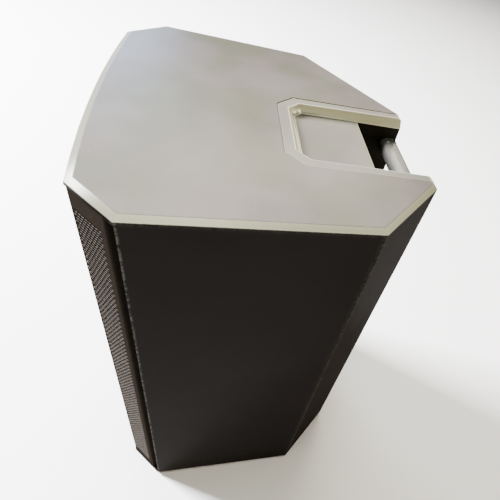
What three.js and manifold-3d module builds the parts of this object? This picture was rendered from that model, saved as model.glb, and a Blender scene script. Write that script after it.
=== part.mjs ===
// Powered two-way loudspeaker in a moulded cabinet: a standalone three.js model.
// Millimetres, +Z up. The grille faces -Y, the amplifier panel faces +Y.
// Origin: middle of the bounding box, on the plane that the rubber feet stand on.
import * as THREE from 'three';
import { mergeVertices } from 'three/addons/utils/BufferGeometryUtils.js';
import { ConvexGeometry } from 'three/addons/geometries/ConvexGeometry.js';
import Module from 'manifold-3d';

const wasm = await Module();
wasm.setup();

// ---------------------------------------------------------------- driving dimensions

const GAP = 0.3; // clearance between neighbouring pieces
const FAR = 40; // how far a cutting block runs past the face that it opens

// Cabinet
const HALF_WIDTH = 200; // at the vertical corners where grille strip and side wall meet
const FRONT_HALF = 157; // half the width of the gently curved front
const FRONT_Y = -172.5; // ends of the curved front
const FRONT_BULGE = 8; // how far its middle stands forward of its ends
const SIDE_FRONT_Y = -131;
const REAR_Y = 180.5;
const SIDE_REAR_HALF = 194; // side walls narrow slightly towards the back
const SHORT_BEVEL_Y = 97.5; // +X rear corner
const LONG_BEVEL_Y = 65.5; // -X rear corner, the one that the cabinet lies on as a floor wedge
const REAR_RIGHT_X = 112;
const REAR_LEFT_X = -53;
const FOOT_HEIGHT = 4;
const HEIGHT = 612;
const EDGE_RISE = 3.5; // bevel along the top and bottom edges
const EDGE_RUN = 6.8;
const WALL = 7;
const INNER_BOTTOM = FOOT_HEIGHT + WALL;
const INNER_TOP = HEIGHT - WALL;

// Grille
const GRILLE_MARGIN = 1; // how far the sheet sits inside the cabinet's outline
const GRILLE_STEEL = 1.5;
const GRILLE_STRIP = 12; // shadow gap between sheet and side wall, along the corner face
const GRILLE_RETURN = 7; // fold at the sheet's two upright edges
const FOAM = 4;

// Baffle and drivers
const BAFFLE_Y = -128;
const BAFFLE_THICK = 10;
const WOOFER_Z = 212;
const WOOFER_RADIUS = 154;
const BASKET_HOLE = 141;
const HORN_Z = 484;
const HORN_HALF_WIDTH = 140;
const HORN_HALF_HEIGHT = 84;
const HORN_DEPTH = 105;
const PORT_X = 158;
const PORT_Z = 46;
const PORT_RADIUS = 20;
const PORT_WALL = 3;
const PORT_LENGTH = 110;

// Carrying handle in the rear top edge
const TRAY_X = 27;
const TRAY_FRONT_Y = 10;
const TRAY_HALF_FRONT = 72;
const TRAY_HALF_REAR = 75;
const TRAY_CORNER = 21;
const TRAY_STEP = 0.8; // the insert's rim lies this far below the cabinet top
const WELL_FRONT_Y = 22.5;
const WELL_HALF_FRONT = 60;
const WELL_HALF_REAR = 66;
const WELL_CORNER = 15;
const WELL_DEPTH = 12;
const FLOOR_FRONT_Y = 32;
const FLOOR_HALF = 58;
const FLOOR_CORNER = 10;
const FLOOR_REAR_Y = 118.5;
const FLOOR_THICK = 6;
const HAND_DEPTH = 92; // from cabinet top to the bottom of the hand well
const TRAY_WALL = 5;
const GRIP_TOP = 584;
const GRIP_BOTTOM = 562;
const GRIP_FRONT_Y = 158.5;
const GRIP_REAR_Y = 179.5;
const GRIP_ROUND = 10; // radius of its two front edges, which the fingers curl round

// Amplifier panel, a dished plate let into the rear face
const PANEL_X = 30;
const PANEL_LOW = 118;
const PANEL_HIGH = 494;
const PANEL_WIDTH = 138;
const PANEL_FLANGE = 8;
const PANEL_STEEL = 2.5;
const FLANGE_Y = 179.6; // outer face of the flange
const DISH_Y = 166; // outer face of the dished floor, where the controls are
const CONTROL_ROUND = 20; // sides of a small round piece

// Stand socket and feet
const POLE_RADIUS = 18;
const POLE_DEPTH = 78;
const POLE_WALL = 4;
const POLE_FLANGE = 2.5; // thickness of the flange let into the underside
const POLE_FLANGE_RADIUS = 32;
const POLE_Y = 8;
const FOOT_RADIUS = 14;
const STEM_RADIUS = 5;

// ---------------------------------------------------------------- materials

const finish = (colour, roughness, metalness = 0) => (
  new THREE.MeshStandardMaterial({ color: colour, roughness, metalness })
);
const MOULDED = finish(0x24221f, 0.5);
const INSERT = finish(0x2c2a26, 0.45);
const PAINTED_STEEL = finish(0x3a3631, 0.5, 0.3);
const BLACK_PLASTIC = finish(0x141414, 0.55);
const RUBBER = finish(0x1b1b1b, 0.9);
const FOAM_BLACK = finish(0x121212, 1);
const BARE_STEEL = finish(0x9a9a98, 0.35, 0.9);
const FERRITE = finish(0x2e2e30, 0.8);
const PAPER = finish(0x2a2926, 0.95);
const CLOTH = finish(0xb08a4a, 0.9);
const COPPER = finish(0xa8622f, 0.4, 0.8);
const ALUMINIUM = finish(0x4b4c4e, 0.45, 0.8);
const BOARD_GREEN = finish(0x1f4a33, 0.6);
const GRIP_GREY = finish(0x55534f, 0.4, 0.2);
const WINDOW = finish(0x10161c, 0.1);
const LENS = finish(0x2f9fd0, 0.2);
const WADDING = finish(0x8d8f92, 1);

// ---------------------------------------------------------------- building blocks

// Turns a geometry into a closed, outward-facing manifold solid.
function solid(geometry) {
  const bare = geometry.clone();
  bare.deleteAttribute('normal');
  bare.deleteAttribute('uv');
  const merged = mergeVertices(bare, 1e-4);
  const place = merged.attributes.position.array;
  const corners = merged.index.array;
  const faces = [];
  let volume = 0;
  for (let i = 0; i < corners.length; i += 3) {
    const [a, b, c] = [corners[i], corners[i + 1], corners[i + 2]];
    if (a === b || b === c || c === a) continue;
    faces.push([a, b, c]);
    const [p, q, r] = [a, b, c].map((v) => new THREE.Vector3().fromArray(place, 3 * v));
    volume += p.dot(q.cross(r));
  }
  if (volume < 0) faces.forEach((face) => face.reverse());
  return new wasm.Manifold(new wasm.Mesh({
    numProp: 3,
    vertProperties: new Float32Array(place),
    triVerts: new Uint32Array(faces.flat()),
  }));
}

// A box from its lowest and highest corners.
function block(x0, y0, z0, x1, y1, z1) {
  const box = new THREE.BoxGeometry(x1 - x0, y1 - y0, z1 - z0);
  return solid(box.translate((x0 + x1) / 2, (y0 + y1) / 2, (z0 + z1) / 2));
}

// A box of a given width, depth and height around a middle point.
function centred(x, y, z, width, depth, height) {
  return solid(new THREE.BoxGeometry(width, depth, height).translate(x, y, z));
}

// A plan outline (x, y) raised from z0 to z1.
function raised(outline, z0, z1) {
  const shape = new THREE.Shape(outline.map(([x, y]) => new THREE.Vector2(x, y)));
  const made = new THREE.ExtrudeGeometry(shape, { depth: z1 - z0, bevelEnabled: false });
  return solid(made.translate(0, 0, z0));
}

// A section (y, z) drawn out along X from x0 to x1.
function drawn(section, x0, x1) {
  const shape = new THREE.Shape(section.map(([y, z]) => new THREE.Vector2(y, z)));
  const made = new THREE.ExtrudeGeometry(shape, { depth: x1 - x0, bevelEnabled: false });
  made.applyMatrix4(new THREE.Matrix4().set(0, 0, 1, x0, 1, 0, 0, 0, 0, 1, 0, 0, 0, 0, 0, 1));
  return solid(made);
}

// A profile of (radius, y) turned about an axis along Y, then placed.
function turned(profile, x, y, z, sides = 40) {
  const points = profile.map(([r, h]) => new THREE.Vector2(r, h));
  return solid(new THREE.LatheGeometry(points, sides).translate(x, y, z));
}

// The same, turned about an upright axis: the profile is (radius, height).
function upright(profile, x, y, z, sides = 32) {
  const points = profile.map(([r, h]) => new THREE.Vector2(r, h));
  const made = new THREE.LatheGeometry(points, sides).rotateX(Math.PI / 2);
  return solid(made.translate(x, y, z));
}

const disc = (radius, y0, y1) => [[0, y0], [radius, y0], [radius, y1], [0, y1]];
const ring = (inner, outer, y0, y1) => [
  [inner, y0], [outer, y0], [outer, y1], [inner, y1], [inner, y0],
];

// The smallest convex body round a list of [x, y, z] points.
function hull(points) {
  return solid(new ConvexGeometry(points.map(([x, y, z]) => new THREE.Vector3(x, y, z))));
}

// Moves every side of an outline (x, y) inwards by a distance.
function inset(outline, distance) {
  const count = outline.length;
  let area = 0;
  outline.forEach(([x, y], i) => {
    const [u, v] = outline[(i + 1) % count];
    area += x * v - u * y;
  });
  const inward = Math.sign(area);
  const sides = outline.map(([x, y], i) => {
    const [u, v] = outline[(i + 1) % count];
    const along = new THREE.Vector2(u - x, v - y).normalize();
    const across = new THREE.Vector2(-along.y, along.x).multiplyScalar(inward * distance);
    return { from: new THREE.Vector2(x, y).add(across), along };
  });
  return sides.map((side, i) => {
    const before = sides[(i + count - 1) % count];
    const between = side.from.clone().sub(before.from);
    const reach = between.cross(side.along) / before.along.cross(side.along);
    const corner = before.from.clone().addScaledVector(before.along, reach);
    return [corner.x, corner.y];
  });
}

// A round tube along a smooth line through the given points.
function cable(points, radius) {
  const line = new THREE.CatmullRomCurve3(points.map(([x, y, z]) => new THREE.Vector3(x, y, z)));
  const section = new THREE.Shape();
  section.absarc(0, 0, radius, 0, 2 * Math.PI);
  return solid(new THREE.ExtrudeGeometry(section, {
    steps: 20, curveSegments: 4, bevelEnabled: false, extrudePath: line,
  }));
}

const speaker = new THREE.Group();

// Adds a finished solid to the speaker under its name.
function piece(name, body, material) {
  const { vertProperties, triVerts } = body.getMesh();
  const geometry = new THREE.BufferGeometry();
  geometry.setAttribute('position', new THREE.BufferAttribute(new Float32Array(vertProperties), 3));
  geometry.setIndex(new THREE.BufferAttribute(new Uint32Array(triVerts), 1));
  geometry.computeVertexNormals();
  const mesh = new THREE.Mesh(geometry, material);
  mesh.name = name;
  speaker.add(mesh);
}

// ---------------------------------------------------------------- cabinet outline

// The curved front, from the +X end to the -X end.
function frontCurve(steps) {
  const radius = (FRONT_HALF ** 2 + FRONT_BULGE ** 2) / (2 * FRONT_BULGE);
  const centreY = FRONT_Y - FRONT_BULGE + radius;
  const half = Math.asin(FRONT_HALF / radius);
  const points = [];
  for (let step = 0; step <= steps; step += 1) {
    const angle = half * (1 - (2 * step) / steps);
    points.push([radius * Math.sin(angle), centreY - radius * Math.cos(angle)]);
  }
  return points;
}

const outline = [
  [HALF_WIDTH, SIDE_FRONT_Y],
  [SIDE_REAR_HALF, SHORT_BEVEL_Y],
  [REAR_RIGHT_X, REAR_Y],
  [REAR_LEFT_X, REAR_Y],
  [-SIDE_REAR_HALF, LONG_BEVEL_Y],
  [-HALF_WIDTH, SIDE_FRONT_Y],
  ...frontCurve(8).reverse(),
];

const atHeight = (points, z) => points.map(([x, y]) => [x, y, z]);
const edge = inset(outline, EDGE_RUN);
const envelope = hull([
  ...atHeight(edge, FOOT_HEIGHT),
  ...atHeight(outline, FOOT_HEIGHT + EDGE_RISE),
  ...atHeight(outline, HEIGHT - EDGE_RISE),
  ...atHeight(edge, HEIGHT),
]);

// ---------------------------------------------------------------- handle insert outlines

// Plan outline with cut front corners, open towards the back of the cabinet.
function bay(frontY, halfFront, halfRear, corner, rearY) {
  return [
    [TRAY_X - halfFront + corner, frontY],
    [TRAY_X + halfFront - corner, frontY],
    [TRAY_X + halfFront, frontY + corner],
    [TRAY_X + halfRear, rearY],
    [TRAY_X - halfRear, rearY],
    [TRAY_X - halfFront, frontY + corner],
  ];
}

const rim = bay(TRAY_FRONT_Y, TRAY_HALF_FRONT, TRAY_HALF_REAR, TRAY_CORNER, REAR_Y + FAR);
const wellTop = bay(WELL_FRONT_Y, WELL_HALF_FRONT, WELL_HALF_REAR, WELL_CORNER, REAR_Y + FAR);
const wellFloor = bay(FLOOR_FRONT_Y, FLOOR_HALF, FLOOR_HALF, FLOOR_CORNER, REAR_Y + FAR);
const handLow = HEIGHT - HAND_DEPTH;
const wellLow = HEIGHT - WELL_DEPTH;
const rimLow = wellLow - FLOOR_THICK;

// The box that hangs under the rim and holds the hand well, grown by a clearance.
const handBox = (grow) => block(
  TRAY_X - FLOOR_HALF - TRAY_WALL - grow, FLOOR_REAR_Y - TRAY_WALL - grow,
  handLow - TRAY_WALL - grow,
  TRAY_X + FLOOR_HALF + TRAY_WALL + grow, REAR_Y + FAR, wellLow,
);

// ---------------------------------------------------------------- rear panel outlines

const panelLeft = PANEL_X - PANEL_WIDTH / 2;
const panelRight = PANEL_X + PANEL_WIDTH / 2;
const dish = (grow, y0, y1) => block(
  panelLeft + PANEL_FLANGE - grow, y0, PANEL_LOW + PANEL_FLANGE - grow,
  panelRight - PANEL_FLANGE + grow, y1, PANEL_HIGH - PANEL_FLANGE + grow,
);
const flange = (grow, y0, y1) => block(
  panelLeft - grow, y0, PANEL_LOW - grow, panelRight + grow, y1, PANEL_HIGH + grow,
);
const SCREW_RADIUS = 1.7;
const panelMiddle = (PANEL_LOW + PANEL_HIGH) / 2;
const screwPlaces = [-1, 1].flatMap((sx) => [-1, 1].map((sz) => [
  PANEL_X + (sx * (PANEL_WIDTH - PANEL_FLANGE)) / 2,
  panelMiddle + (sz * (PANEL_HIGH - PANEL_LOW - PANEL_FLANGE)) / 2,
]));

// ---------------------------------------------------------------- feet and wedge pads

const feet = [[150, -112], [-150, -112], [92, 136], [-104, 92]];

// Pads on the long rear bevel, each let half its thickness into the wall.
const bevelAngle = Math.atan2(REAR_Y - LONG_BEVEL_Y, REAR_LEFT_X + SIDE_REAR_HALF);
const PAD_LENGTH = 90;
const PAD_WIDTH = 16;
const PAD_THICK = 3;
const PAD_PROUD = 1.5;
const padHeights = [70, 500];
function pad(z, grow, proud) {
  const box = new THREE.BoxGeometry(PAD_LENGTH + 2 * grow, PAD_THICK, PAD_WIDTH + 2 * grow);
  box.translate(0, PAD_THICK / 2 - proud, 0).rotateZ(bevelAngle);
  const middle = [(REAR_LEFT_X - SIDE_REAR_HALF) / 2, (REAR_Y + LONG_BEVEL_Y) / 2];
  return solid(box.translate(...middle, z));
}

// ---------------------------------------------------------------- enclosure

// One-piece moulding, open at the front. The side walls end in a slanted return
// that forms one side of the shadow gap beside the grille.
const inner = inset(outline, WALL);
const RETURN_DEPTH = 9; // how far back the slanted return runs
const openingHalf = HALF_WIDTH + 0.5; // just past the walls, so that nothing is left there
const hollow = raised([
  [openingHalf, SIDE_FRONT_Y],
  [inner[0][0], SIDE_FRONT_Y + RETURN_DEPTH],
  ...inner.slice(1, 5),
  [-inner[0][0], SIDE_FRONT_Y + RETURN_DEPTH],
  [-openingHalf, SIDE_FRONT_Y],
  [-openingHalf, FRONT_Y - FAR],
  [openingHalf, FRONT_Y - FAR],
], INNER_BOTTOM, INNER_TOP);

let shell = envelope.subtract(hollow)
  .subtract(raised(inset(rim, -GAP), rimLow - GAP, HEIGHT + FAR))
  .subtract(handBox(GAP))
  .subtract(dish(GAP, REAR_Y - FAR, REAR_Y + FAR))
  .subtract(flange(GAP, FLANGE_Y - PANEL_STEEL - GAP, REAR_Y + FAR))
  .subtract(upright(disc(POLE_RADIUS + POLE_WALL + GAP, -FAR, FAR), 0, POLE_Y, FOOT_HEIGHT))
  .subtract(upright(
    disc(POLE_FLANGE_RADIUS + GAP, -FAR, POLE_FLANGE + GAP), 0, POLE_Y, FOOT_HEIGHT,
  ));
feet.forEach(([x, y]) => {
  shell = shell.subtract(upright(disc(STEM_RADIUS + GAP, -FAR, FAR), x, y, FOOT_HEIGHT, 16));
});
padHeights.forEach((z) => {
  shell = shell.subtract(pad(z, GAP, PAD_PROUD + GAP));
});
screwPlaces.forEach(([x, z]) => {
  shell = shell.subtract(turned(disc(SCREW_RADIUS + GAP, -FAR, FAR), x, FLANGE_Y, z, 12));
});
piece('enclosure_shell', shell, MOULDED);

// Flat baffle behind the grille, with holes for both drivers and the ports.
const innerHalf = inner[0][0] - GAP;
let baffle = block(
  -innerHalf, BAFFLE_Y, INNER_BOTTOM + GAP,
  innerHalf, BAFFLE_Y + BAFFLE_THICK, INNER_TOP - GAP,
);
baffle = baffle.subtract(turned(disc(BASKET_HOLE + GAP, -FAR, FAR), 0, BAFFLE_Y, WOOFER_Z));
baffle = baffle.subtract(block(
  -HORN_HALF_WIDTH - GAP, BAFFLE_Y - FAR, HORN_Z - HORN_HALF_HEIGHT - GAP,
  HORN_HALF_WIDTH + GAP, BAFFLE_Y + FAR, HORN_Z + HORN_HALF_HEIGHT + GAP,
));
const portOuter = PORT_RADIUS + PORT_WALL;
[-1, 1].forEach((side) => {
  const bore = turned(disc(portOuter + GAP, -FAR, FAR), side * PORT_X, BAFFLE_Y, PORT_Z, 24);
  baffle = baffle.subtract(bore);
});
piece('front_baffle', baffle, BLACK_PLASTIC);

// ---------------------------------------------------------------- grille

// A bent sheet: an open line, thickened inwards, as a plan outline.
function bent(line, depth, thickness) {
  const side = (shift) => line.map((_, i) => {
    const before = line[Math.max(i - 1, 0)];
    const here = line[i];
    const after = line[Math.min(i + 1, line.length - 1)];
    const normal = (a, b) => new THREE.Vector2(-(b[1] - a[1]), b[0] - a[0]).normalize();
    const first = i === 0 ? normal(here, after) : normal(before, here);
    const second = i === line.length - 1 ? first : normal(here, after);
    const middle = first.clone().add(second).normalize();
    const reach = shift / middle.dot(first);
    return [here[0] + middle.x * reach, here[1] + middle.y * reach];
  });
  return [...side(-depth), ...side(-depth - thickness).reverse()];
}

const cornerLength = Math.hypot(HALF_WIDTH - FRONT_HALF, SIDE_FRONT_Y - FRONT_Y);
const towardsFront = [
  (FRONT_HALF - HALF_WIDTH) / cornerLength,
  (FRONT_Y - SIDE_FRONT_Y) / cornerLength,
];
const sheetEnd = [
  HALF_WIDTH + GRILLE_STRIP * towardsFront[0],
  SIDE_FRONT_Y + GRILLE_STRIP * towardsFront[1],
];
const sheetLine = [sheetEnd, ...frontCurve(8), [-sheetEnd[0], sheetEnd[1]]];
const returnEnd = [
  sheetEnd[0] + GRILLE_RETURN * towardsFront[1],
  sheetEnd[1] - GRILLE_RETURN * towardsFront[0],
];
const foldedLine = [returnEnd, ...sheetLine, [-returnEnd[0], returnEnd[1]]];
const grilleLow = INNER_BOTTOM + GAP;
const grilleHigh = INNER_TOP - GAP;
piece(
  'grille',
  raised(bent(foldedLine, GRILLE_MARGIN, GRILLE_STEEL), grilleLow, grilleHigh),
  PAINTED_STEEL,
);

const foamDepth = GRILLE_MARGIN + GRILLE_STEEL + GAP;
const FOAM_SHORT = 6; // the foam stops this far before the sheet's end
const foamEnd = [
  sheetEnd[0] + FOAM_SHORT * towardsFront[0],
  sheetEnd[1] + FOAM_SHORT * towardsFront[1],
];
const foamLine = [foamEnd, ...frontCurve(8), [-foamEnd[0], foamEnd[1]]];
piece('grille_foam', raised(bent(foamLine, foamDepth, FOAM), grilleLow, grilleHigh), FOAM_BLACK);

// ---------------------------------------------------------------- handle

const rimBlock = raised(rim, rimLow, HEIGHT - TRAY_STEP);
const recess = hull([
  ...atHeight(wellTop, HEIGHT),
  ...atHeight(wellFloor, wellLow),
]);
const handWell = block(
  TRAY_X - FLOOR_HALF, FLOOR_REAR_Y, handLow,
  TRAY_X + FLOOR_HALF, REAR_Y + 2 * FAR, HEIGHT,
);
const tray = rimBlock.add(handBox(0)).subtract(recess).subtract(handWell).intersect(envelope);
piece('handle_insert', tray, INSERT);

// Grip bar across the back of the hand well: square behind, rounded where the fingers curl.
const gripSection = [[GRIP_REAR_Y, GRIP_BOTTOM], [GRIP_REAR_Y, GRIP_TOP]];
const GRIP_STEPS = 8; // facets round the front of the bar
for (let step = 0; step <= GRIP_STEPS; step += 1) {
  const angle = (Math.PI / 2) * (1 - (2 * step) / GRIP_STEPS);
  const middle = angle > 0 ? GRIP_TOP - GRIP_ROUND : GRIP_BOTTOM + GRIP_ROUND;
  gripSection.push([
    GRIP_FRONT_Y + GRIP_ROUND * (1 - Math.cos(angle)),
    middle + GRIP_ROUND * Math.sin(angle),
  ]);
}
const gripEnds = [TRAY_X - FLOOR_HALF + GAP, TRAY_X + FLOOR_HALF - GAP];
piece('handle_grip', drawn(gripSection, ...gripEnds), GRIP_GREY);

// ---------------------------------------------------------------- woofer

const woofer = (profile, sides) => turned(profile, 0, BAFFLE_Y, WOOFER_Z, sides);

const RIM_WIDTH = 12; // of the flange, inside the baffle's hole
const RIM_STEEL = 2.5;
const MOTOR_Y = 66; // basket depth, where the magnet hangs
const MOTOR_RADIUS = 72;
const BASKET_STEEL = 3;
const rimInside = BASKET_HOLE - RIM_WIDTH;
const coneInside = BASKET_HOLE - 7; // inner face of the basket's cone
const coneOutside = BASKET_HOLE - 1; // outer face, clear of the baffle's hole
const motorRing = 48; // inner radius of the ring that carries the magnet

// Pressed basket: front flange, six legs and the ring that carries the magnet.
let basket = woofer([
  [coneInside, 0],
  [coneInside, 2 * BASKET_STEEL],
  [MOTOR_RADIUS, MOTOR_Y],
  [motorRing, MOTOR_Y],
  [motorRing, MOTOR_Y + BASKET_STEEL],
  [MOTOR_RADIUS + BASKET_STEEL, MOTOR_Y + BASKET_STEEL],
  [coneOutside, 4 * BASKET_STEEL],
  [coneOutside, -GAP],
  [WOOFER_RADIUS, -GAP],
  [WOOFER_RADIUS, -GAP - RIM_STEEL],
  [rimInside, -GAP - RIM_STEEL],
  [rimInside, 0],
  [coneInside, 0],
], 48);
const LEGS = 6;
const LEG_WINDOW = [58, 44, 60]; // width, depth and height of the block that cuts one window
const WINDOW_Y = 40;
const WINDOW_REACH = 108; // from the axis to the middle of a window
for (let leg = 0; leg < LEGS; leg += 1) {
  const window = new THREE.BoxGeometry(...LEG_WINDOW).translate(0, WINDOW_Y, WINDOW_REACH);
  window.rotateY(((leg + 0.5) / LEGS) * 2 * Math.PI).translate(0, BAFFLE_Y, WOOFER_Z);
  basket = basket.subtract(solid(window));
}
piece('woofer_basket', basket, PAINTED_STEEL);

// Half-roll rubber surround, fixed to the flange, with play for the cone inside it.
const ROLL = 9;
const ROLL_THICK = 1.5;
const ROLL_Y = -2;
const ROLL_STEPS = 6;
const rollMiddle = rimInside - GAP - ROLL;
const halfRoll = (radius) => Array.from({ length: ROLL_STEPS + 1 }, (_, step) => {
  const angle = (Math.PI * step) / ROLL_STEPS;
  return [rollMiddle + radius * Math.cos(angle), ROLL_Y - radius * Math.sin(angle)];
});
const rollFront = halfRoll(ROLL);
piece('woofer_surround', woofer([
  ...rollFront, ...halfRoll(ROLL - ROLL_THICK).reverse(), rollFront[0],
]), RUBBER);

// Paper cone, dust cap and voice coil: the three move as one.
const COIL_RADIUS = 36;
const COIL_THICK = 0.8; // on each side of the former
const CONE_DEPTH = 44;
const PAPER_THICK = 2;
const coneEdge = rollMiddle - ROLL - GAP;
const neck = COIL_RADIUS + 1;
piece('woofer_cone', woofer([
  [coneEdge, 0],
  [neck, CONE_DEPTH],
  [neck, CONE_DEPTH + PAPER_THICK],
  [neck + PAPER_THICK, CONE_DEPTH + PAPER_THICK],
  [coneEdge, 1.25 * PAPER_THICK],
  [coneEdge, 0],
]), PAPER);
const CAP_Y = 22; // crown of the dust cap
const capShape = [[0, 0], [20, 2.5], [44, 13.5]];
piece('woofer_dust_cap', woofer([
  ...capShape.map(([r, y]) => [r, CAP_Y + y]),
  ...capShape.map(([r, y]) => [Math.max(r - 1, 0), CAP_Y + y + PAPER_THICK]).reverse(),
], 32), PAPER);
const COIL_FRONT = 39;
const COIL_REAR = 84;
piece('voice_coil', woofer(
  ring(COIL_RADIUS - COIL_THICK, COIL_RADIUS + COIL_THICK, COIL_FRONT, COIL_REAR), 32,
), COPPER);

// Corrugated cloth suspension between basket and coil.
const SPIDER_Y = 62;
const SPIDER_EDGE = 70;
const RIPPLES = 8;
const RIPPLE = 1.2; // height of a corrugation
const spiderInside = COIL_RADIUS + 1.5;
const ripples = Array.from({ length: RIPPLES + 1 }, (_, step) => [
  spiderInside + (step / RIPPLES) * (SPIDER_EDGE - spiderInside),
  SPIDER_Y + (step % 2 ? RIPPLE : -RIPPLE),
]);
piece('woofer_spider', woofer([
  ...ripples, ...ripples.map(([r, y]) => [r, y + 1]).reverse(), ripples[0],
], 32), CLOTH);

// Motor: front plate, ferrite ring, back plate with its pole.
const PLATE = 8;
const FERRITE_THICK = 22;
const FERRITE_HOLE = 45;
const FERRITE_RADIUS = 78;
const POLE_GAP = 2; // between the coil's middle radius and the front plate
const plateY = MOTOR_Y + BASKET_STEEL + GAP;
piece('woofer_front_plate', woofer(
  ring(COIL_RADIUS + POLE_GAP, MOTOR_RADIUS, plateY, plateY + PLATE), 32,
), BARE_STEEL);
const ferriteY = plateY + PLATE + GAP;
piece('woofer_magnet', woofer(
  ring(FERRITE_HOLE, FERRITE_RADIUS, ferriteY, ferriteY + FERRITE_THICK), 32,
), FERRITE);
const backY = ferriteY + FERRITE_THICK + GAP;
const poleRadius = COIL_RADIUS - POLE_GAP - 1;
piece('woofer_back_plate', woofer([
  [0, plateY],
  [poleRadius, plateY],
  [poleRadius, backY],
  [MOTOR_RADIUS, backY],
  [MOTOR_RADIUS, backY + PLATE],
  [0, backY + PLATE],
], 32), BARE_STEEL);

// ---------------------------------------------------------------- horn and ports

// Rectangular waveguide: a flared shell from the mouth down to a round-cornered throat.
const THROAT = 18; // half the width of the throat
const HORN_WALL = 5;
const HORN_FRAME = 10; // from the frame's edge to the outside of the flare
const MOUTH_FRAME = 18; // from the frame's edge to the mouth
const FRAME_PROUD = 2;
const hornSection = (halfWidth, halfHeight, y) => (
  [[1, 1], [-1, 1], [-1, -1], [1, -1]].map(([sx, sz]) => [
    sx * halfWidth, BAFFLE_Y + y, HORN_Z + sz * halfHeight,
  ])
);
const flareInside = hull([
  ...hornSection(HORN_HALF_WIDTH - MOUTH_FRAME, HORN_HALF_HEIGHT - MOUTH_FRAME, -FAR / 4),
  ...hornSection(THROAT, THROAT, HORN_DEPTH + 1),
]);
const flareOutside = hull([
  ...hornSection(HORN_HALF_WIDTH - HORN_FRAME, HORN_HALF_HEIGHT - HORN_FRAME, 0),
  ...hornSection(THROAT + HORN_WALL, THROAT + HORN_WALL, HORN_DEPTH),
]);
const mouthFrame = block(
  -HORN_HALF_WIDTH, BAFFLE_Y - FRAME_PROUD, HORN_Z - HORN_HALF_HEIGHT,
  HORN_HALF_WIDTH, BAFFLE_Y + BAFFLE_THICK, HORN_Z + HORN_HALF_HEIGHT,
);
piece('horn', flareOutside.add(mouthFrame).subtract(flareInside), BLACK_PLASTIC);

// Compression driver on the throat, with a round cover over its back.
const DRIVER_EXIT = 12;
const DRIVER_RADIUS = 40;
const DRIVER_LENGTH = 34;
const DRIVER_FLANGE = 10;
const COVER_LENGTH = 16;
const driverY = BAFFLE_Y + HORN_DEPTH + GAP;
piece('compression_driver', turned([
  [DRIVER_EXIT, 0],
  [DRIVER_RADIUS + 4, 0],
  [DRIVER_RADIUS + 4, DRIVER_FLANGE],
  [DRIVER_RADIUS, DRIVER_FLANGE],
  [DRIVER_RADIUS, DRIVER_LENGTH],
  [DRIVER_EXIT, DRIVER_LENGTH],
  [DRIVER_EXIT, 0],
], 0, driverY, HORN_Z, 32), FERRITE);
piece('driver_cover', turned([
  [0, 0],
  [DRIVER_RADIUS - 2, 0],
  [DRIVER_RADIUS - 2, COVER_LENGTH - 6],
  [DRIVER_RADIUS - 10, COVER_LENGTH],
  [0, COVER_LENGTH],
], 0, driverY + DRIVER_LENGTH + GAP, HORN_Z, 32), BLACK_PLASTIC);

[['left', -1], ['right', 1]].forEach(([name, side]) => {
  const tube = turned([
    [PORT_RADIUS, 0], [portOuter, 0], [portOuter, PORT_LENGTH],
    [PORT_RADIUS, PORT_LENGTH], [PORT_RADIUS, 0],
  ], side * PORT_X, BAFFLE_Y, PORT_Z, 24);
  piece(`port_tube_${name}`, tube, BLACK_PLASTIC);
});

// ---------------------------------------------------------------- amplifier panel

const dishInner = DISH_Y - PANEL_STEEL;
const flangeInner = FLANGE_Y - PANEL_STEEL;

// Positions on the dished floor, x and z.
const INPUTS = [[-8, 340], [30, 340]];
const LINK = [68, 340];
const GAINS = [[-8, 382], [30, 382]];
const MODES = [[-8, 408], [30, 408]];
const STATUS = [68, 382];
const DISPLAY = [6, 450];
const ENCODER = [66, 450];
const MAINS = [8, 286];
const SWITCH = [66, 286];
const SINK_LOW = 136;
const SINK_HIGH = 252;
const SINK_HALF = 50;

const SOCKET_RADIUS = 12;
const SOCKET_FLANGE = [30, 37];
const POT_BUSH = 4;
const KNOB_RADIUS = 8;
const ENCODER_RADIUS = 13;
const BUTTON = 7;
const DISPLAY_SIZE = [52, 30];
const MAINS_SIZE = [50, 28];
const SWITCH_SIZE = [22, 30];
const LATCH_SLOT = [8.6, 3.6];
const latchZ = SOCKET_RADIUS + 2.5;
const FLANGE_THICK = 2.5; // of a socket's flange, in front of the panel
const MARGIN = 3; // how much smaller a socket's body is than its flange
const INLET_EARS = 20; // width of the inlet's two screw ears together
const INLET_MARGIN = 4;
const SWITCH_MARGIN = 4;
const LENS_RADIUS = 2.5;

// A hole through the dished floor, grown by the usual clearance.
const slotAt = ([x, z], [width, height]) => centred(
  x, DISH_Y, z, width + 2 * GAP, FAR, height + 2 * GAP,
);
const boreAt = ([x, z], radius) => turned(
  disc(radius + GAP, -FAR / 2, FAR / 2), x, DISH_Y, z, CONTROL_ROUND,
);

let panel = flange(0, flangeInner, FLANGE_Y)
  .add(dish(0, dishInner, FLANGE_Y))
  .subtract(dish(-2, DISH_Y, FLANGE_Y + FAR));
[...INPUTS, LINK].forEach((place) => {
  panel = panel.subtract(slotAt(place, SOCKET_FLANGE.map((size) => size - MARGIN)));
});
[...GAINS, ENCODER].forEach((place) => {
  panel = panel.subtract(boreAt(place, POT_BUSH));
});
MODES.forEach((place) => {
  panel = panel.subtract(slotAt(place, [BUTTON, BUTTON]));
});
panel = panel.subtract(boreAt(STATUS, LENS_RADIUS))
  .subtract(slotAt(DISPLAY, DISPLAY_SIZE))
  .subtract(slotAt(MAINS, [MAINS_SIZE[0] - INLET_EARS, MAINS_SIZE[1] - INLET_MARGIN]))
  .subtract(slotAt(SWITCH, SWITCH_SIZE.map((size) => size - SWITCH_MARGIN)))
  .subtract(block(
    PANEL_X - SINK_HALF - GAP, DISH_Y - FAR, SINK_LOW - GAP,
    PANEL_X + SINK_HALF + GAP, DISH_Y + FAR / 2, SINK_HIGH + GAP,
  ));
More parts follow.
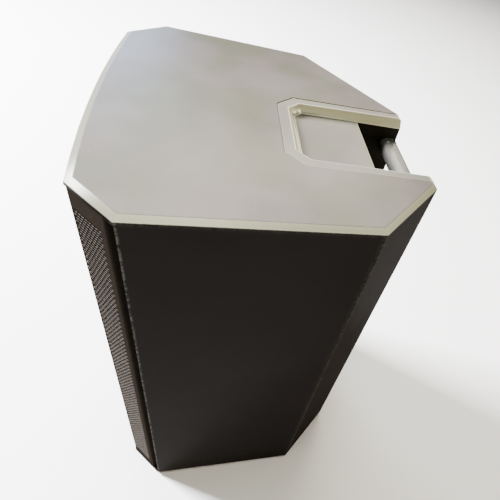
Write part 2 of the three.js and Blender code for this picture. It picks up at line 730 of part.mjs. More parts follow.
screwPlaces.forEach(([x, z]) => {
  panel = panel.subtract(turned(disc(SCREW_RADIUS + GAP, -FAR, FAR), x, FLANGE_Y, z, 12));
});
piece('amp_panel', panel, PAINTED_STEEL);

const SCREW_HEAD = 3;
const SCREW_PROUD = 0.7;
const SCREW_LENGTH = 8;
screwPlaces.forEach(([x, z], i) => {
  piece(`panel_screw_${i + 1}`, turned([
    [0, -SCREW_LENGTH],
    [SCREW_RADIUS, -SCREW_LENGTH],
    [SCREW_RADIUS, GAP],
    [SCREW_HEAD, GAP],
    [SCREW_HEAD, SCREW_PROUD],
    [0, SCREW_PROUD],
  ], x, FLANGE_Y, z, 12), BARE_STEEL);
});

// Finned heat sink that stands through the panel, fins upright.
const FINS = 9;
const FIN_THICK = 3;
const sinkLeft = PANEL_X - SINK_HALF;
const sinkBack = DISH_Y - 10;
const sinkFace = DISH_Y - 4;
let sink = block(sinkLeft, sinkBack, SINK_LOW, PANEL_X + SINK_HALF, sinkFace, SINK_HIGH);
for (let fin = 0; fin < FINS; fin += 1) {
  const x = sinkLeft + (fin * (2 * SINK_HALF - FIN_THICK)) / (FINS - 1);
  sink = sink.add(block(x, sinkFace - 1, SINK_LOW, x + FIN_THICK, FLANGE_Y - 2, SINK_HIGH));
}
piece('heat_sink', sink, ALUMINIUM);

// Amplifier board with its large parts standing on it, and the mains transformer.
const BOARD_Y = 104;
const BOARD_THICK = 2;
const boardFace = BOARD_Y + BOARD_THICK;
// On the board, from its face towards the panel: [x, z, width, height, how far it stands out]
const boardParts = [
  [-8, 270, 24, 24, 20], // mains capacitor
  [24, 272, 18, 30, 16], // relay
  [58, 262, 30, 40, 24], // switching transformer
  [30, 173, 96, 6, 28], // heat spreader
  [0, 214, 30, 40, 14], // output filter
];
let board = block(-28, BOARD_Y, 140, 88, boardFace, 300);
boardParts.forEach(([x, z, width, height, out]) => {
  board = board.add(centred(x, boardFace + out / 2 - 0.5, z, width, out + 1, height));
});
piece('amp_board', board, BOARD_GREEN);

const CORE_HOLE = 10;
const CORE_RADIUS = 42;
const CORE_HEIGHT = 34;
const CORE_ROUND = 4;
piece('transformer', turned([
  [CORE_HOLE, 0],
  [CORE_RADIUS - CORE_ROUND, 0],
  [CORE_RADIUS, CORE_ROUND],
  [CORE_RADIUS, CORE_HEIGHT - CORE_ROUND],
  [CORE_RADIUS - CORE_ROUND, CORE_HEIGHT],
  [CORE_HOLE, CORE_HEIGHT],
  [CORE_HOLE, 0],
], 30, 66, 210, 28), CLOTH);

// ---------------------------------------------------------------- sockets

// A flange lying on the panel, clear of it by the usual gap.
const faceplate = ([x, z], [width, height], thick) => centred(
  x, DISH_Y + GAP + thick / 2, z, width, thick, height,
);

// A body from a little in front of the panel's face to some way behind it.
const housing = ([x, z], [width, height], depth) => centred(
  x, DISH_Y + FLANGE_THICK - depth / 2, z, width, depth, height,
);

// Signal sockets: a flange, a round well and a body behind the panel.
const SOCKET_DEPTH = 19.5;
const WELL_FLOOR_Y = -11; // from the panel's face
function socket(name, [x, z], latched) {
  let body = faceplate([x, z], SOCKET_FLANGE, FLANGE_THICK)
    .add(housing([x, z], SOCKET_FLANGE.map((size) => size - MARGIN), SOCKET_DEPTH))
    .subtract(turned(disc(SOCKET_RADIUS, WELL_FLOOR_Y, FAR), x, DISH_Y, z, CONTROL_ROUND));
  if (latched) {
    body = body.subtract(centred(x, DISH_Y, z + latchZ, LATCH_SLOT[0], 16, LATCH_SLOT[1]));
  }
  piece(name, body, BLACK_PLASTIC);
}
const LATCH_LENGTH = 6;
const LATCH_MIDDLE = 1.8; // in front of the panel's face
INPUTS.forEach((place, i) => {
  socket(`input_socket_${i + 1}`, place, true);
  piece(`socket_latch_${i + 1}`, centred(
    place[0], DISH_Y + LATCH_MIDDLE, place[1] + latchZ,
    LATCH_SLOT[0] - 2 * GAP, LATCH_LENGTH, LATCH_SLOT[1] - 2 * GAP,
  ), BARE_STEEL);
});
socket('link_socket', LINK, false);

// Mains inlet: flanged body with a recessed mouth.
const INLET_DEPTH = 23.5;
const INLET_WALL = 2.5; // at the sides of the mouth
const MOUTH_DEPTH = 15; // behind the panel's face
const inletBody = [MAINS_SIZE[0] - INLET_EARS, MAINS_SIZE[1] - INLET_MARGIN];
const inlet = faceplate(MAINS, MAINS_SIZE, FLANGE_THICK)
  .add(housing(MAINS, inletBody, INLET_DEPTH))
  .subtract(centred(
    MAINS[0], DISH_Y, MAINS[1],
    inletBody[0] - 2 * INLET_WALL, 2 * MOUTH_DEPTH, inletBody[1] - 3 * INLET_WALL,
  ));
piece('mains_inlet', inlet, BLACK_PLASTIC);

// Power switch: a frame and the rocker that tips in it about a level axis along X.
const SWITCH_DEPTH = 20;
const SWITCH_WALL = 4; // from the frame's edge to the rocker's opening
const ROCKER_BACK_Y = DISH_Y - 9;
const rockerOpening = SWITCH_SIZE.map((size) => size - 2 * SWITCH_WALL);
const switchFrame = faceplate(SWITCH, SWITCH_SIZE, 2)
  .add(housing(SWITCH, SWITCH_SIZE.map((size) => size - SWITCH_MARGIN), SWITCH_DEPTH))
  .subtract(block(
    SWITCH[0] - rockerOpening[0] / 2, ROCKER_BACK_Y, SWITCH[1] - rockerOpening[1] / 2,
    SWITCH[0] + rockerOpening[0] / 2, DISH_Y + FAR, SWITCH[1] + rockerOpening[1] / 2,
  ));
piece('power_switch_frame', switchFrame, BLACK_PLASTIC);

// Side view of the rocker: a shallow V in front, narrowing behind its pivot.
const PIVOT_Y = DISH_Y - 1;
const rockerSide = [
  [-4, -5], [2, -10], [5.5, -9.5], [3.5, 0], [5.5, 9.5], [2, 10], [-4, 5],
].map(([y, z]) => [PIVOT_Y + y, SWITCH[1] + z]);
const rockerHalf = rockerOpening[0] / 2 - GAP;
piece(
  'power_rocker', drawn(rockerSide, SWITCH[0] - rockerHalf, SWITCH[0] + rockerHalf), BLACK_PLASTIC,
);

// ---------------------------------------------------------------- knobs and buttons

const KNOB_HEIGHT = 11;
const KNOB_CLEAR = 1.2; // between the panel and a knob
const KNOB_SKIRT = 2; // height of the flared foot
const KNOB_CAP = 3; // solid part above the shaft's bore
const POINTER = [1, 0.8]; // width and height of the raised line on a knob's face

// A knob with a skirt, a grip waist and a raised pointer line on its face.
function knob([x, z], radius, bore, lift = 0) {
  const foot = DISH_Y + KNOB_CLEAR + lift;
  return turned([
    [0, 0],
    [radius, 0],
    [radius, KNOB_SKIRT],
    [radius - 1, KNOB_SKIRT + 0.6],
    [radius - 1, KNOB_HEIGHT - 0.6],
    [radius - 1.6, KNOB_HEIGHT],
    [0, KNOB_HEIGHT],
  ], x, foot, z, CONTROL_ROUND)
    .add(centred(x, foot + KNOB_HEIGHT, z + radius / 2, ...POINTER, radius - 2.5))
    .subtract(turned(disc(bore + GAP, -FAR, KNOB_HEIGHT - KNOB_CAP), x, foot, z, 12));
}

// A square component behind the panel, with the threaded bush that holds it there.
const BUSH_PROUD = 0.6;
const component = ([x, z], size, depth) => (
  centred(x, dishInner - GAP - depth / 2, z, size, depth, size)
    .add(turned(disc(POT_BUSH, -6, BUSH_PROUD), x, DISH_Y, z, 12))
);

const POT_SHAFT = 3;
const SHAFT_TIP = 7.5; // in front of the panel's face
GAINS.forEach((place, i) => {
  const [x, z] = place;
  piece(`gain_pot_${i + 1}`, component(place, 15, 10)
    .add(turned(disc(POT_SHAFT, -6, SHAFT_TIP), x, DISH_Y, z, 12)), BARE_STEEL);
  piece(`gain_knob_${i + 1}`, knob(place, KNOB_RADIUS, POT_SHAFT), BLACK_PLASTIC);
});

// Encoder: its shaft slides in the body when pressed, and carries the knob.
const [encoderX, encoderZ] = ENCODER;
const ENCODER_SHAFT = 2.5;
const ENCODER_LIFT = 0.6; // room for the press
const encoderBore = turned(disc(ENCODER_SHAFT + GAP, -9, FAR), encoderX, DISH_Y, encoderZ, 12);
piece('encoder_body', component(ENCODER, 16, 12).subtract(encoderBore), BARE_STEEL);
piece('encoder_shaft', turned(
  disc(ENCODER_SHAFT, -6.5, SHAFT_TIP + 0.1), encoderX, DISH_Y, encoderZ, 12,
), BARE_STEEL);
piece('encoder_knob', knob(ENCODER, ENCODER_RADIUS, ENCODER_SHAFT, ENCODER_LIFT), ALUMINIUM);

// Mode buttons: each slides in a small switch behind the panel.
const MODE_SWITCH = [11, 12, 11];
const BUTTON_PROUD = 3.5;
const BUTTON_DEEP = 3; // how far it reaches into its switch
MODES.forEach(([x, z], i) => {
  piece(`mode_switch_${i + 1}`, centred(x, dishInner - GAP - 6, z, ...MODE_SWITCH)
    .subtract(centred(x, dishInner, z, BUTTON - 0.4, 12, BUTTON - 0.4)), BLACK_PLASTIC);
  const half = (BUTTON - 1) / 2;
  piece(`mode_button_${i + 1}`, block(
    x - half, dishInner - BUTTON_DEEP, z - half, x + half, DISH_Y + BUTTON_PROUD, z + half,
  ), GRIP_GREY);
});

piece('display_window', centred(
  DISPLAY[0], DISH_Y - 1.5, DISPLAY[1], DISPLAY_SIZE[0], 5, DISPLAY_SIZE[1],
), WINDOW);
piece('status_lens', turned([
  [0, -5], [LENS_RADIUS, -5], [LENS_RADIUS, 0.8], [LENS_RADIUS - 1, 2], [0, 2],
], STATUS[0], DISH_Y, STATUS[1], 16), LENS);

// ---------------------------------------------------------------- stand socket, feet, pads

piece('pole_socket', upright([
  [POLE_RADIUS, 0],
  [POLE_FLANGE_RADIUS, 0],
  [POLE_FLANGE_RADIUS, POLE_FLANGE],
  [POLE_RADIUS + POLE_WALL, POLE_FLANGE],
  [POLE_RADIUS + POLE_WALL, POLE_DEPTH + POLE_WALL],
  [0, POLE_DEPTH + POLE_WALL],
  [0, POLE_DEPTH],
  [POLE_RADIUS, POLE_DEPTH],
  [POLE_RADIUS, 0],
], 0, POLE_Y, FOOT_HEIGHT), BLACK_PLASTIC);

feet.forEach(([x, y], i) => {
  piece(`foot_${i + 1}`, upright([
    [0, 0], [FOOT_RADIUS - 1, 0], [FOOT_RADIUS, 1], [FOOT_RADIUS, FOOT_HEIGHT - GAP],
    [STEM_RADIUS, FOOT_HEIGHT - GAP], [STEM_RADIUS, FOOT_HEIGHT + WALL], [0, FOOT_HEIGHT + WALL],
  ], x, y, 0, 20), RUBBER);
});
padHeights.forEach((z, i) => {
  piece(`wedge_pad_${i + 1}`, pad(z, 0, PAD_PROUD), RUBBER);
});

// ---------------------------------------------------------------- inside: wadding and leads

piece('damping_pad', block(-184, -100, 120, -172, 50, 440), WADDING);
piece('woofer_lead', cable([
  [40, BOARD_Y - 2, 150], [70, 80, 130], [110, 20, 150], [112, -40, 190], [96, -66, 212],
], 2), RUBBER);
piece('tweeter_lead', cable([
  [60, BOARD_Y - 2, 295], [70, 80, 340], [60, 60, 410], [34, 38, 450], [14, 33, 470],
], 2), RUBBER);

export default speaker;
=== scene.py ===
"""Powered two-way loudspeaker in a moulded cabinet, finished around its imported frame.
Metres, +Z up. The grille faces -Y, the amplifier panel faces +Y, and the handle is in the lid."""

import math

import bmesh
import bpy
from mathutils import Matrix, Vector, noise


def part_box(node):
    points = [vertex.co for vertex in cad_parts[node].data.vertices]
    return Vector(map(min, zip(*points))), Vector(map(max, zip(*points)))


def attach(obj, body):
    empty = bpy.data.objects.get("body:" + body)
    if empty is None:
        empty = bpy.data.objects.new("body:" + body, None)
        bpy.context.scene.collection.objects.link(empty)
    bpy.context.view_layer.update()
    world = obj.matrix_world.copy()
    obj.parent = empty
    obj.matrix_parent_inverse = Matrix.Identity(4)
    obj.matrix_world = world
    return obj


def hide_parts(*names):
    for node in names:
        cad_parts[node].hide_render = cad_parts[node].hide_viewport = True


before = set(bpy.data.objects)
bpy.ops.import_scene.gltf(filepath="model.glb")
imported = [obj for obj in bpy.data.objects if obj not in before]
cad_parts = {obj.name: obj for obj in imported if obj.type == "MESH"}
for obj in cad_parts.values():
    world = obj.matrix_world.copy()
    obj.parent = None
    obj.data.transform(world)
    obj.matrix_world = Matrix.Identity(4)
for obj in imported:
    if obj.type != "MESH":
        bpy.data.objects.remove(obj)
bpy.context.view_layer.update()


# ---------------------------------------------------------------- camera, room and light
# A wide lens held a little above the lid, on the right of the cabinet, which stands
# on a pale painted floor. A broad warm window and a blue one lie beyond the cabinet and shine
# in its lid, and a smaller lamp at the front casts the shadow.

lens = bpy.data.cameras.new("camera")
lens.lens = 29.37
lens.shift_x = -0.1818
lens.shift_y = 0.0249
lens.clip_start = 0.01
camera = bpy.data.objects.new("camera", lens)
camera.location = (0.45018, -0.06078, 0.84541)
camera.rotation_euler = [math.radians(turn) for turn in (43.841, -14.791, 79.41)]
bpy.context.scene.collection.objects.link(camera)
bpy.context.scene.camera = camera


class Flow:
    """One output socket of a finish. Arithmetic on it adds Math nodes to that finish."""

    def __init__(self, finish, socket):
        self.finish = finish
        self.socket = socket

    def maths(self, operation, first, second):
        return self.finish.node("Math", {"operation": operation}, {0: first, 1: second})

    def __add__(self, other):
        return self.maths("ADD", self, other)

    def __sub__(self, other):
        return self.maths("SUBTRACT", self, other)

    def __rsub__(self, other):
        return self.maths("SUBTRACT", other, self)

    def __mul__(self, other):
        return self.maths("MULTIPLY", self, other)

    __radd__ = __add__
    __rmul__ = __mul__

    def size(self):
        return self.finish.node("Math", {"operation": "ABSOLUTE"}, {0: self})

    def wave(self):
        return self.finish.node("Math", {"operation": "SINE"}, {0: self})

    def least(self, other):
        return self.maths("MINIMUM", self, other)

    def most(self, other):
        return self.maths("MAXIMUM", self, other)

    def ease(self, start, end):
        """0 where the value is at start, 1 where it is at end, and smooth between them."""
        settings = {"interpolation_type": "SMOOTHSTEP"}
        return self.finish.node("MapRange", settings, {0: self, 1: start, 2: end})


class Finish:
    """A procedural material: one Principled surface and the nodes that feed it."""

    def __init__(self, name, fixed=None):
        self.material = bpy.data.materials.new(name)
        self.material.use_nodes = True
        self.tree = self.material.node_tree
        self.surface = self.tree.nodes["Principled BSDF"]
        for socket, value in (fixed or {}).items():
            self.feed(self.surface.inputs[socket], value)

    def feed(self, socket, value):
        if isinstance(value, Flow):
            self.tree.links.new(value.socket, socket)
        elif isinstance(value, tuple) and len(value) == 3 and socket.type == "RGBA":
            socket.default_value = (*value, 1)
        else:
            socket.default_value = value

    def node(self, kind, settings=None, values=None, output=0):
        made = self.tree.nodes.new("ShaderNode" + kind)
        for name, value in (settings or {}).items():
            setattr(made, name, value)
        for name, value in (values or {}).items():
            self.feed(made.inputs[name], value)
        return Flow(self, made.outputs[output])

    def place(self, stretch=(1, 1, 1), turn=(0, 0, 0)):
        """Object coordinates, in metres, stretched and turned for one pattern."""
        here = self.node("TexCoord", output="Object")
        angles = [math.radians(angle) for angle in turn]
        return self.node("Mapping", None, {"Vector": here, "Scale": stretch, "Rotation": angles})

    def noise(self, scale, detail=2.0, at=None):
        where = at or self.place()
        return self.node("TexNoise", None, {"Vector": where, "Scale": scale, "Detail": detail})

    def cells(self, scale):
        """How far a point is from the middle of its cell in a random packing of cells."""
        values = {"Vector": self.place(), "Scale": scale}
        return self.node("TexVoronoi", {"feature": "F1"}, values, output="Distance")

    def axis(self, name):
        where = self.node("TexCoord", output="Object")
        return self.node("SeparateXYZ", None, {0: where}, output=name)

    def reach(self, here, normal):
        """How far a place lies along a direction."""
        settings = {"operation": "DOT_PRODUCT"}
        return self.node("VectorMath", settings, {0: here, 1: tuple(normal)}, output="Value")

    def facing(self, name="Z"):
        """1 where a face looks along this axis, 0 across it, -1 away from it."""
        normal = self.node("NewGeometry", output="Normal")
        return self.node("SeparateXYZ", None, {0: normal}, output=name)

    def blend(self, mask, under, over):
        """One colour over another, where the mask says."""
        settings = {"data_type": "RGBA"}
        return self.node("Mix", settings, {0: mask, 6: under, 7: over}, output=2)

    def finish(self, colour, roughness, relief=None, depth=0.0001, strength=1.0, coat=None):
        if coat is not None:
            self.feed(self.surface.inputs["Coat Weight"], coat)
        self.feed(self.surface.inputs["Base Color"], colour)
        self.feed(self.surface.inputs["Roughness"], roughness)
        if relief is not None:
            bump = self.node("Bump", None, {
                "Height": relief, "Distance": depth, "Strength": strength,
            })
            self.feed(self.surface.inputs["Normal"], bump)
        return self


floor_mesh = bmesh.new()
bmesh.ops.create_grid(floor_mesh, x_segments=1, y_segments=1, size=6)
floor_data = bpy.data.meshes.new("floor")
floor_mesh.to_mesh(floor_data)
floor_mesh.free()
floor = bpy.data.objects.new("floor", floor_data)
bpy.context.scene.collection.objects.link(floor)
floor_paint = Finish("floor_paint", {"Specular IOR Level": 0.1})
floor_paint.finish(
    floor_paint.blend(floor_paint.noise(3.0), (0.88, 0.88, 0.89), (0.91, 0.91, 0.92)),
    floor_paint.noise(9.0) * 0.1 + 0.75,
)
floor_data.materials.append(floor_paint.material)


def softbox(name, place, target, width, height, power, colour):
    """A soft rectangular lamp that the camera doesn't see."""
    lamp = bpy.data.lights.new(name, "AREA")
    lamp.shape = "RECTANGLE"
    lamp.size = width
    lamp.size_y = height
    lamp.energy = power
    lamp.color = colour
    holder = bpy.data.objects.new(name, lamp)
    holder.location = place
    aim = Vector(target) - Vector(place)
    holder.rotation_euler = aim.to_track_quat("-Z", "Y").to_euler()
    holder.visible_camera = False
    bpy.context.scene.collection.objects.link(holder)


softbox("window_wall", (-3.1, 0.1, 3.55), (0, 0, 0.6), 4.3, 2.0, 335, (1.0, 0.92, 0.745))
softbox("blue_window", (-3.5, -1.3, 1.6), (0, 0, 0.6), 1.7, 1.3, 74, (0.36, 0.62, 1.0))
softbox("key_window", (-1.3, -2.3, 2.3), (0, 0, 0.1), 0.8, 0.8, 1050, (0.98, 0.98, 1.0))
softbox("rear_glow", (0.9, 2.6, 0.45), (0, 0, 0.3), 1.2, 0.6, 65, (1.0, 0.74, 0.48))
softbox("ceiling", (0.35, -0.1, 3.2), (0, 0, 0), 1.0, 1.0, 56, (1.0, 0.985, 0.80))

room = bpy.data.worlds.new("room")
room.use_nodes = True
backdrop = room.node_tree.nodes["Background"]
backdrop.inputs["Color"].default_value = (0.93, 0.95, 1.0, 1)
backdrop.inputs["Strength"].default_value = 0.11
bpy.context.scene.world = room


# ---------------------------------------------------------------- cabinet moulding
# One injection-moulded shell in black filled polypropylene with a fine satin grain, cored
# out behind, its outer edges rounded by the tool and rubbed pale by years of loading. Its
# colours carry painted light too: paler on the lid, slopes and rounded edges, darker on walls.

EDGE_ROUND = 0.0009
SMALLEST_FACE = 0.0004  # square metres; the lid's chamfers are larger
RUBBED_WIDTH = 0.0045
WELL_SHADE_FULL = 0.588  # painted shade: below this height in the hand well, faces keep the dark wall colour and only a trace of coat
WELL_SHADE_END = 0.598
BROW = (0.0020, 0.0055)  # from this far below the lid to this far, its chamfers are rubbed more
FRONT_WORN = (0.010, 0.024)  # and from here down, the front corners of the walls
LILAC = (0.070, 0.053, 0.058)  # a warm bloom in the plastic
RUBBED = (0.24, 0.24, 0.18)
CHIPPED = (0.60, 0.585, 0.50)

lid_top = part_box("enclosure_shell")[1].z


def bench(node):
    """A merged copy of a frame node, its flat faces made whole, to work on."""
    mesh = bmesh.new()
    mesh.from_mesh(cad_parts[node].data)
    bmesh.ops.remove_doubles(mesh, verts=mesh.verts, dist=2e-6)
    bmesh.ops.dissolve_limit(
        mesh, angle_limit=math.radians(0.4), verts=mesh.verts, edges=mesh.edges,
    )
    return mesh


def soften(mesh, width, segments=2, turn=25, shortest=0.0035, among=None):
    """Rounds the outward edges that turn by more than an angle, leaving short ones sharp."""
    edges = [
        edge for edge in mesh.edges
        if edge.is_manifold and edge.calc_length() > shortest
        and edge.calc_face_angle_signed(0) > math.radians(turn)
        and (among is None or among(edge))
    ]
    bmesh.ops.bevel(
        mesh, geom=edges, offset=width, offset_type="OFFSET", segments=segments,
        profile=0.5, affect="EDGES", clamp_overlap=False, material=-1,
    )


def show(mesh, name, body, finish, replaces=(), sharp=35):
    """Turns a worked mesh into a piece that moves with a body."""
    data = bpy.data.meshes.new(name)
    mesh.to_mesh(data)
    mesh.free()
    data.shade_smooth()
    data.set_sharp_from_angle(angle=math.radians(sharp))
    data.materials.append(finish.material)
    piece = bpy.data.objects.new(name, data)
    bpy.context.scene.collection.objects.link(piece)
    normals = piece.modifiers.new("normals", "WEIGHTED_NORMAL")
    normals.keep_sharp = True
    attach(piece, body)
    if replaces:
        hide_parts(*replaces)
    return piece


def outer_planes(mesh, smallest):
    """The planes of the large flat faces with everything behind them: (normal, distance)."""
    corners = [vertex.co for vertex in mesh.verts]
    found = []
    for face in mesh.faces:
        reach = face.normal.dot(face.verts[0].co)
        inside = all(face.normal.dot(corner) < reach + 1e-4 for corner in corners)
        known = any(face.normal.dot(normal) > 0.9999 for normal, _ in found)
        if inside and not known and face.calc_area() > smallest:
            found.append((face.normal.copy(), reach))
    return found


def edge_distance(finish, planes):
    """How far a point on a convex body is from the nearest edge between two of its planes."""
    here = finish.node("TexCoord", output="Object")
    nearest = second = None
    for normal, reach in planes:
        depth = reach - finish.reach(here, normal)
        if nearest is None:
            nearest, second = depth, depth + 1
        else:
            second = second.least(nearest.most(depth))
            nearest = nearest.least(depth)
    return second


def moulded(name, planes, wall, lid, bevel, lit_slope_from, lit_slope_to, wear_and_highlights):
    """Filled plastic with a fine grain and cloudy handling marks: dull on its walls, burnished
    where it faces up, and rubbed pale along its edges. Its colours carry painted light: walls
    in a dark colour as in shade, upward faces in a paler one as lit from above, the hand well
    left in shade, and slopes and rounded edges painted pale as lit. The last argument, given the
    finish, gives the other places painted pale: rubbed wear, and painted highlights."""
    paint = Finish(name, {"Specular IOR Level": 0.0, "Coat Roughness": 0.34})
    tilt = paint.facing()
    height = paint.axis("Z")
    # Upward faces, but not down in the hand well, which is left in painted shade.
    up = tilt.ease(0.25, 0.85) * height.ease(WELL_SHADE_FULL, WELL_SHADE_END)
    off_lid = tilt.ease(0.985, 0.93)
    lit_slope = tilt.ease(lit_slope_from, lit_slope_to) * off_lid * height.ease(WELL_SHADE_FULL, WELL_SHADE_END)
    cloud = paint.noise(7.0, 3.0)
    tint = paint.noise(11.0, 2.0, paint.place(turn=(0, 0, 60)))
    grain = paint.noise(1500.0, 1.0)
    breakup = paint.noise(420.0, 4.0)
    drag = paint.place(stretch=(1, 14, 1), turn=(0, 0, 24))
    scratch = paint.noise(70.0, 3.0, drag).ease(0.66, 0.72) * cloud.ease(0.45, 0.6) * up
    near = 1 - edge_distance(paint, planes).ease(0.0, RUBBED_WIDTH)
    near = near * (1 - tilt.ease(0.96, 0.99) * 0.8)
    brow = tilt.ease(0.3, 0.6) * off_lid * height.ease(*(lid_top - drop for drop in BROW))
    front = paint.axis("Y").ease(0.02, -0.10) * height.ease(*(lid_top - drop for drop in FRONT_WORN))
    handled = (brow + front).least(1)
    rubbed = near * breakup.ease(0.36, 0.62) * (handled * 0.88 + 0.12)
    chip = near.ease(0.72, 0.95) * breakup.ease(0.50, 0.64) * (handled * 0.94 + 0.06)
    chip = chip.most(brow * near.ease(0.6, 0.9) * 0.7)
    # Painted light: upward faces take the paler lid colour, as lit from above, and the rest the wall
    # colour, painted dark as in shade.
    shade = paint.blend(up, wall, lid)
    shade = paint.blend(tint.ease(0.40, 0.62) * up * 0.6, shade, LILAC)
    # Painted light: slopes and rounded edges take the pale bevel colour as lit, less where they face
    # -Y, towards the front lamp.
    painted_slope_light = lit_slope * (paint.facing("Y").ease(0.0, -0.4) * -0.55 + 0.9)
    shade = paint.blend(painted_slope_light, shade, bevel)
    shade = paint.blend(cloud * 0.3, shade, tuple(0.45 * part for part in lid))
    shade = paint.blend(scratch * 0.25 + rubbed * 0.45, shade, RUBBED)
    shade = paint.blend(chip * (up * 0.60 + 0.18), shade, CHIPPED)
    # More pale marks in the chipped colour: rubbed wear on the walls, and painted highlights along
    # the tray's edges.
    shade = paint.blend(wear_and_highlights(paint) * (0.5 + breakup * 0.5), shade, CHIPPED)
    gloss = cloud * 0.12 + grain * 0.06 + rubbed * 0.12 + 0.40
    sheen = 0.98 - cloud.ease(0.35, 0.65) * 0.28
    polish = (up * sheen * (1 - lit_slope * 0.45) + 0.03) * (1 - chip)
    return paint.finish(shade, gloss, grain + breakup * 0.4, 0.00003, 0.5, coat=polish)


shell = bench("enclosure_shell")
wall_front = min(
    vertex.co.y for face in shell.faces for vertex in face.verts
    if face.normal.x > 0.95 and face.calc_area() > SMALLEST_FACE
)


def front_edges(paint):
    """A broken line down the front of each side wall, where it has rubbed on doorways."""
    along = (paint.axis("Y") - wall_front).size().ease(0.0036, 0.0010)
    broken = paint.noise(260.0, 4.0).ease(0.34, 0.66)
    return along * broken * paint.facing("X").size().ease(0.5, 0.9) * 0.13


cabinet_planes = outer_planes(shell, SMALLEST_FACE)
soften(shell, EDGE_ROUND)
# Walls painted dark as in shade, the lid paler as lit from above, and slopes and rounded edges pale
# as lit: painted light.
cabinet_plastic = moulded(
    "cabinet_plastic", cabinet_planes,
    (0.0060, 0.0047, 0.0047), (0.042, 0.040, 0.028), (0.25, 0.255, 0.165), 0.60, 0.80, front_edges,
)
show(shell, "cabinet_moulding", "cabinet", cabinet_plastic, ["enclosure_shell"])


# ---------------------------------------------------------------- handle insert
# A second moulding clipped into the lid from above: a rim, a shallow thumb tray with sloped
# sides, and the box that the hand reaches down into. Its tray edge is rolled for the fingers.

TRAY_EDGE_ROUND = 0.0030
INSERT_EDGE_ROUND = 0.0007
TRAY_DEPTH = 0.0112

insert = bench("handle_insert")
insert_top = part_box("handle_insert")[1].z
tray_floor = insert_top - TRAY_DEPTH


def on_tray_lip(edge):
    ends = [vertex.co for vertex in edge.verts]
    return all(abs(end.z - tray_floor) < 2e-4 for end in ends) and edge.calc_length() > 0.08


# The planes of the tray's sloped sides, which look inwards.
tray_planes = [
    (face.normal.copy(), face.normal.dot(face.verts[0].co)) for face in insert.faces
    if 0.1 < face.normal.z < 0.7 and face.calc_area() > 5e-5
]


def tray_edge_highlights(paint):
    """Painted highlights: a pale line along the tray's brim, and a finer one along the foot of its
    sides.
    """
    here = paint.node("TexCoord", output="Object")
    outside = None
    for normal, reach in tray_planes:
        depth = reach - paint.reach(here, normal)
        outside = depth if outside is None else outside.most(depth)
    height = paint.axis("Z")
    brim = outside.size().ease(0.0013, 0.0004) * height.ease(insert_top - 0.002, insert_top - 0.001)
    foot = (height - tray_floor).size().ease(0.0011, 0.0005) * outside.size().ease(0.0012, 0.0006)
    return brim * 0.55 + foot * 0.8


soften(insert, TRAY_EDGE_ROUND, 5, 60, among=on_tray_lip)
soften(insert, INSERT_EDGE_ROUND, 2, 20, 0.006, among=lambda edge: not on_tray_lip(edge))
# Painted light as on the cabinet, with the tray's slopes painted pale as lit and painted highlights
# along its edges.
insert_plastic = moulded(
    "insert_plastic", cabinet_planes,
    (0.0050, 0.0043, 0.0038), (0.085, 0.083, 0.064), (0.53, 0.52, 0.35), 0.08, 0.16, tray_edge_highlights,
)
show(insert, "handle_tray", "cabinet", insert_plastic, ["handle_insert"])


# ---------------------------------------------------------------- grip bar
# A hollow moulded bar of paler, shinier plastic across the back of the hand well, square
# behind and rounded in front, with a fuller collar at each end and a parting line.

GRIP_FRONT_ROUND = 0.0098
GRIP_REAR_ROUND = 0.0030
COLLAR = 0.009  # a band at each end, a little fuller than the bar
BAR_SHARE = 0.965

grip_low, grip_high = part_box("handle_grip")
grip_middle = (grip_low + grip_high) / 2
grip = bmesh.new()
bmesh.ops.create_grid(
    grip, x_segments=1, y_segments=1, size=0.5,
    matrix=Matrix.Translation((grip_low.x, grip_middle.y, grip_middle.z))
    @ Matrix.Diagonal((1, grip_high.y - grip_low.y, grip_high.z - grip_low.z, 1))
    @ Matrix.Rotation(math.pi / 2, 4, "Y"),
)
for front, radius, steps in ((True, GRIP_FRONT_ROUND, 10), (False, GRIP_REAR_ROUND, 5)):
    corners = [
        vertex for vertex in grip.verts
        if abs(vertex.co.y - (grip_low.y if front else grip_high.y)) < 1e-5
    ]
    bmesh.ops.bevel(
        grip, geom=corners, offset=radius, offset_type="OFFSET", segments=steps,
        profile=0.5, affect="VERTICES", material=-1,
    )
length = grip_high.x - grip_low.x
section = grip.faces[:]
share = 1
for along, to_share in (
    (COLLAR, 1), (COLLAR + 0.0006, BAR_SHARE), (length / 2, BAR_SHARE),
    (length - COLLAR - 0.0006, BAR_SHARE), (length - COLLAR, 1), (length, 1),
):
    made = bmesh.ops.extrude_face_region(grip, geom=section)["geom"]
    section = [item for item in made if isinstance(item, bmesh.types.BMFace)]
    ring = [item for item in made if isinstance(item, bmesh.types.BMVert)]
    step = grip_low.x + along - ring[0].co.x
    bmesh.ops.translate(grip, vec=(step, 0, 0), verts=ring)
    bmesh.ops.scale(
        grip, vec=(1, to_share / share, to_share / share), verts=ring,
        space=Matrix.Translation(-grip_middle),
    )
    share = to_share
bmesh.ops.recalc_face_normals(grip, faces=grip.faces)

grip_plastic = Finish("grip_plastic", {"Specular IOR Level": 0.6})
grip_cloud = grip_plastic.noise(40.0, 3.0)
palm_rub = grip_plastic.noise(300.0, 2.0, grip_plastic.place(stretch=(0.2, 1, 1)))
grip_seam = grip_plastic.axis("Y").ease(grip_high.y - 0.0034, grip_high.y - 0.0028)
grip_colour = grip_plastic.blend(grip_cloud, (0.030, 0.029, 0.026), (0.055, 0.054, 0.048))
grip_colour = grip_plastic.blend(grip_seam * 0.8, grip_colour, (0.01, 0.01, 0.01))
grip_plastic.finish(
    grip_colour, grip_cloud * 0.12 + palm_rub * 0.08 + 0.17,
    grip_plastic.noise(900.0) * 0.3 - grip_seam, 0.0002, 0.4,
)
show(grip, "grip_bar", "cabinet", grip_plastic, ["handle_grip"])


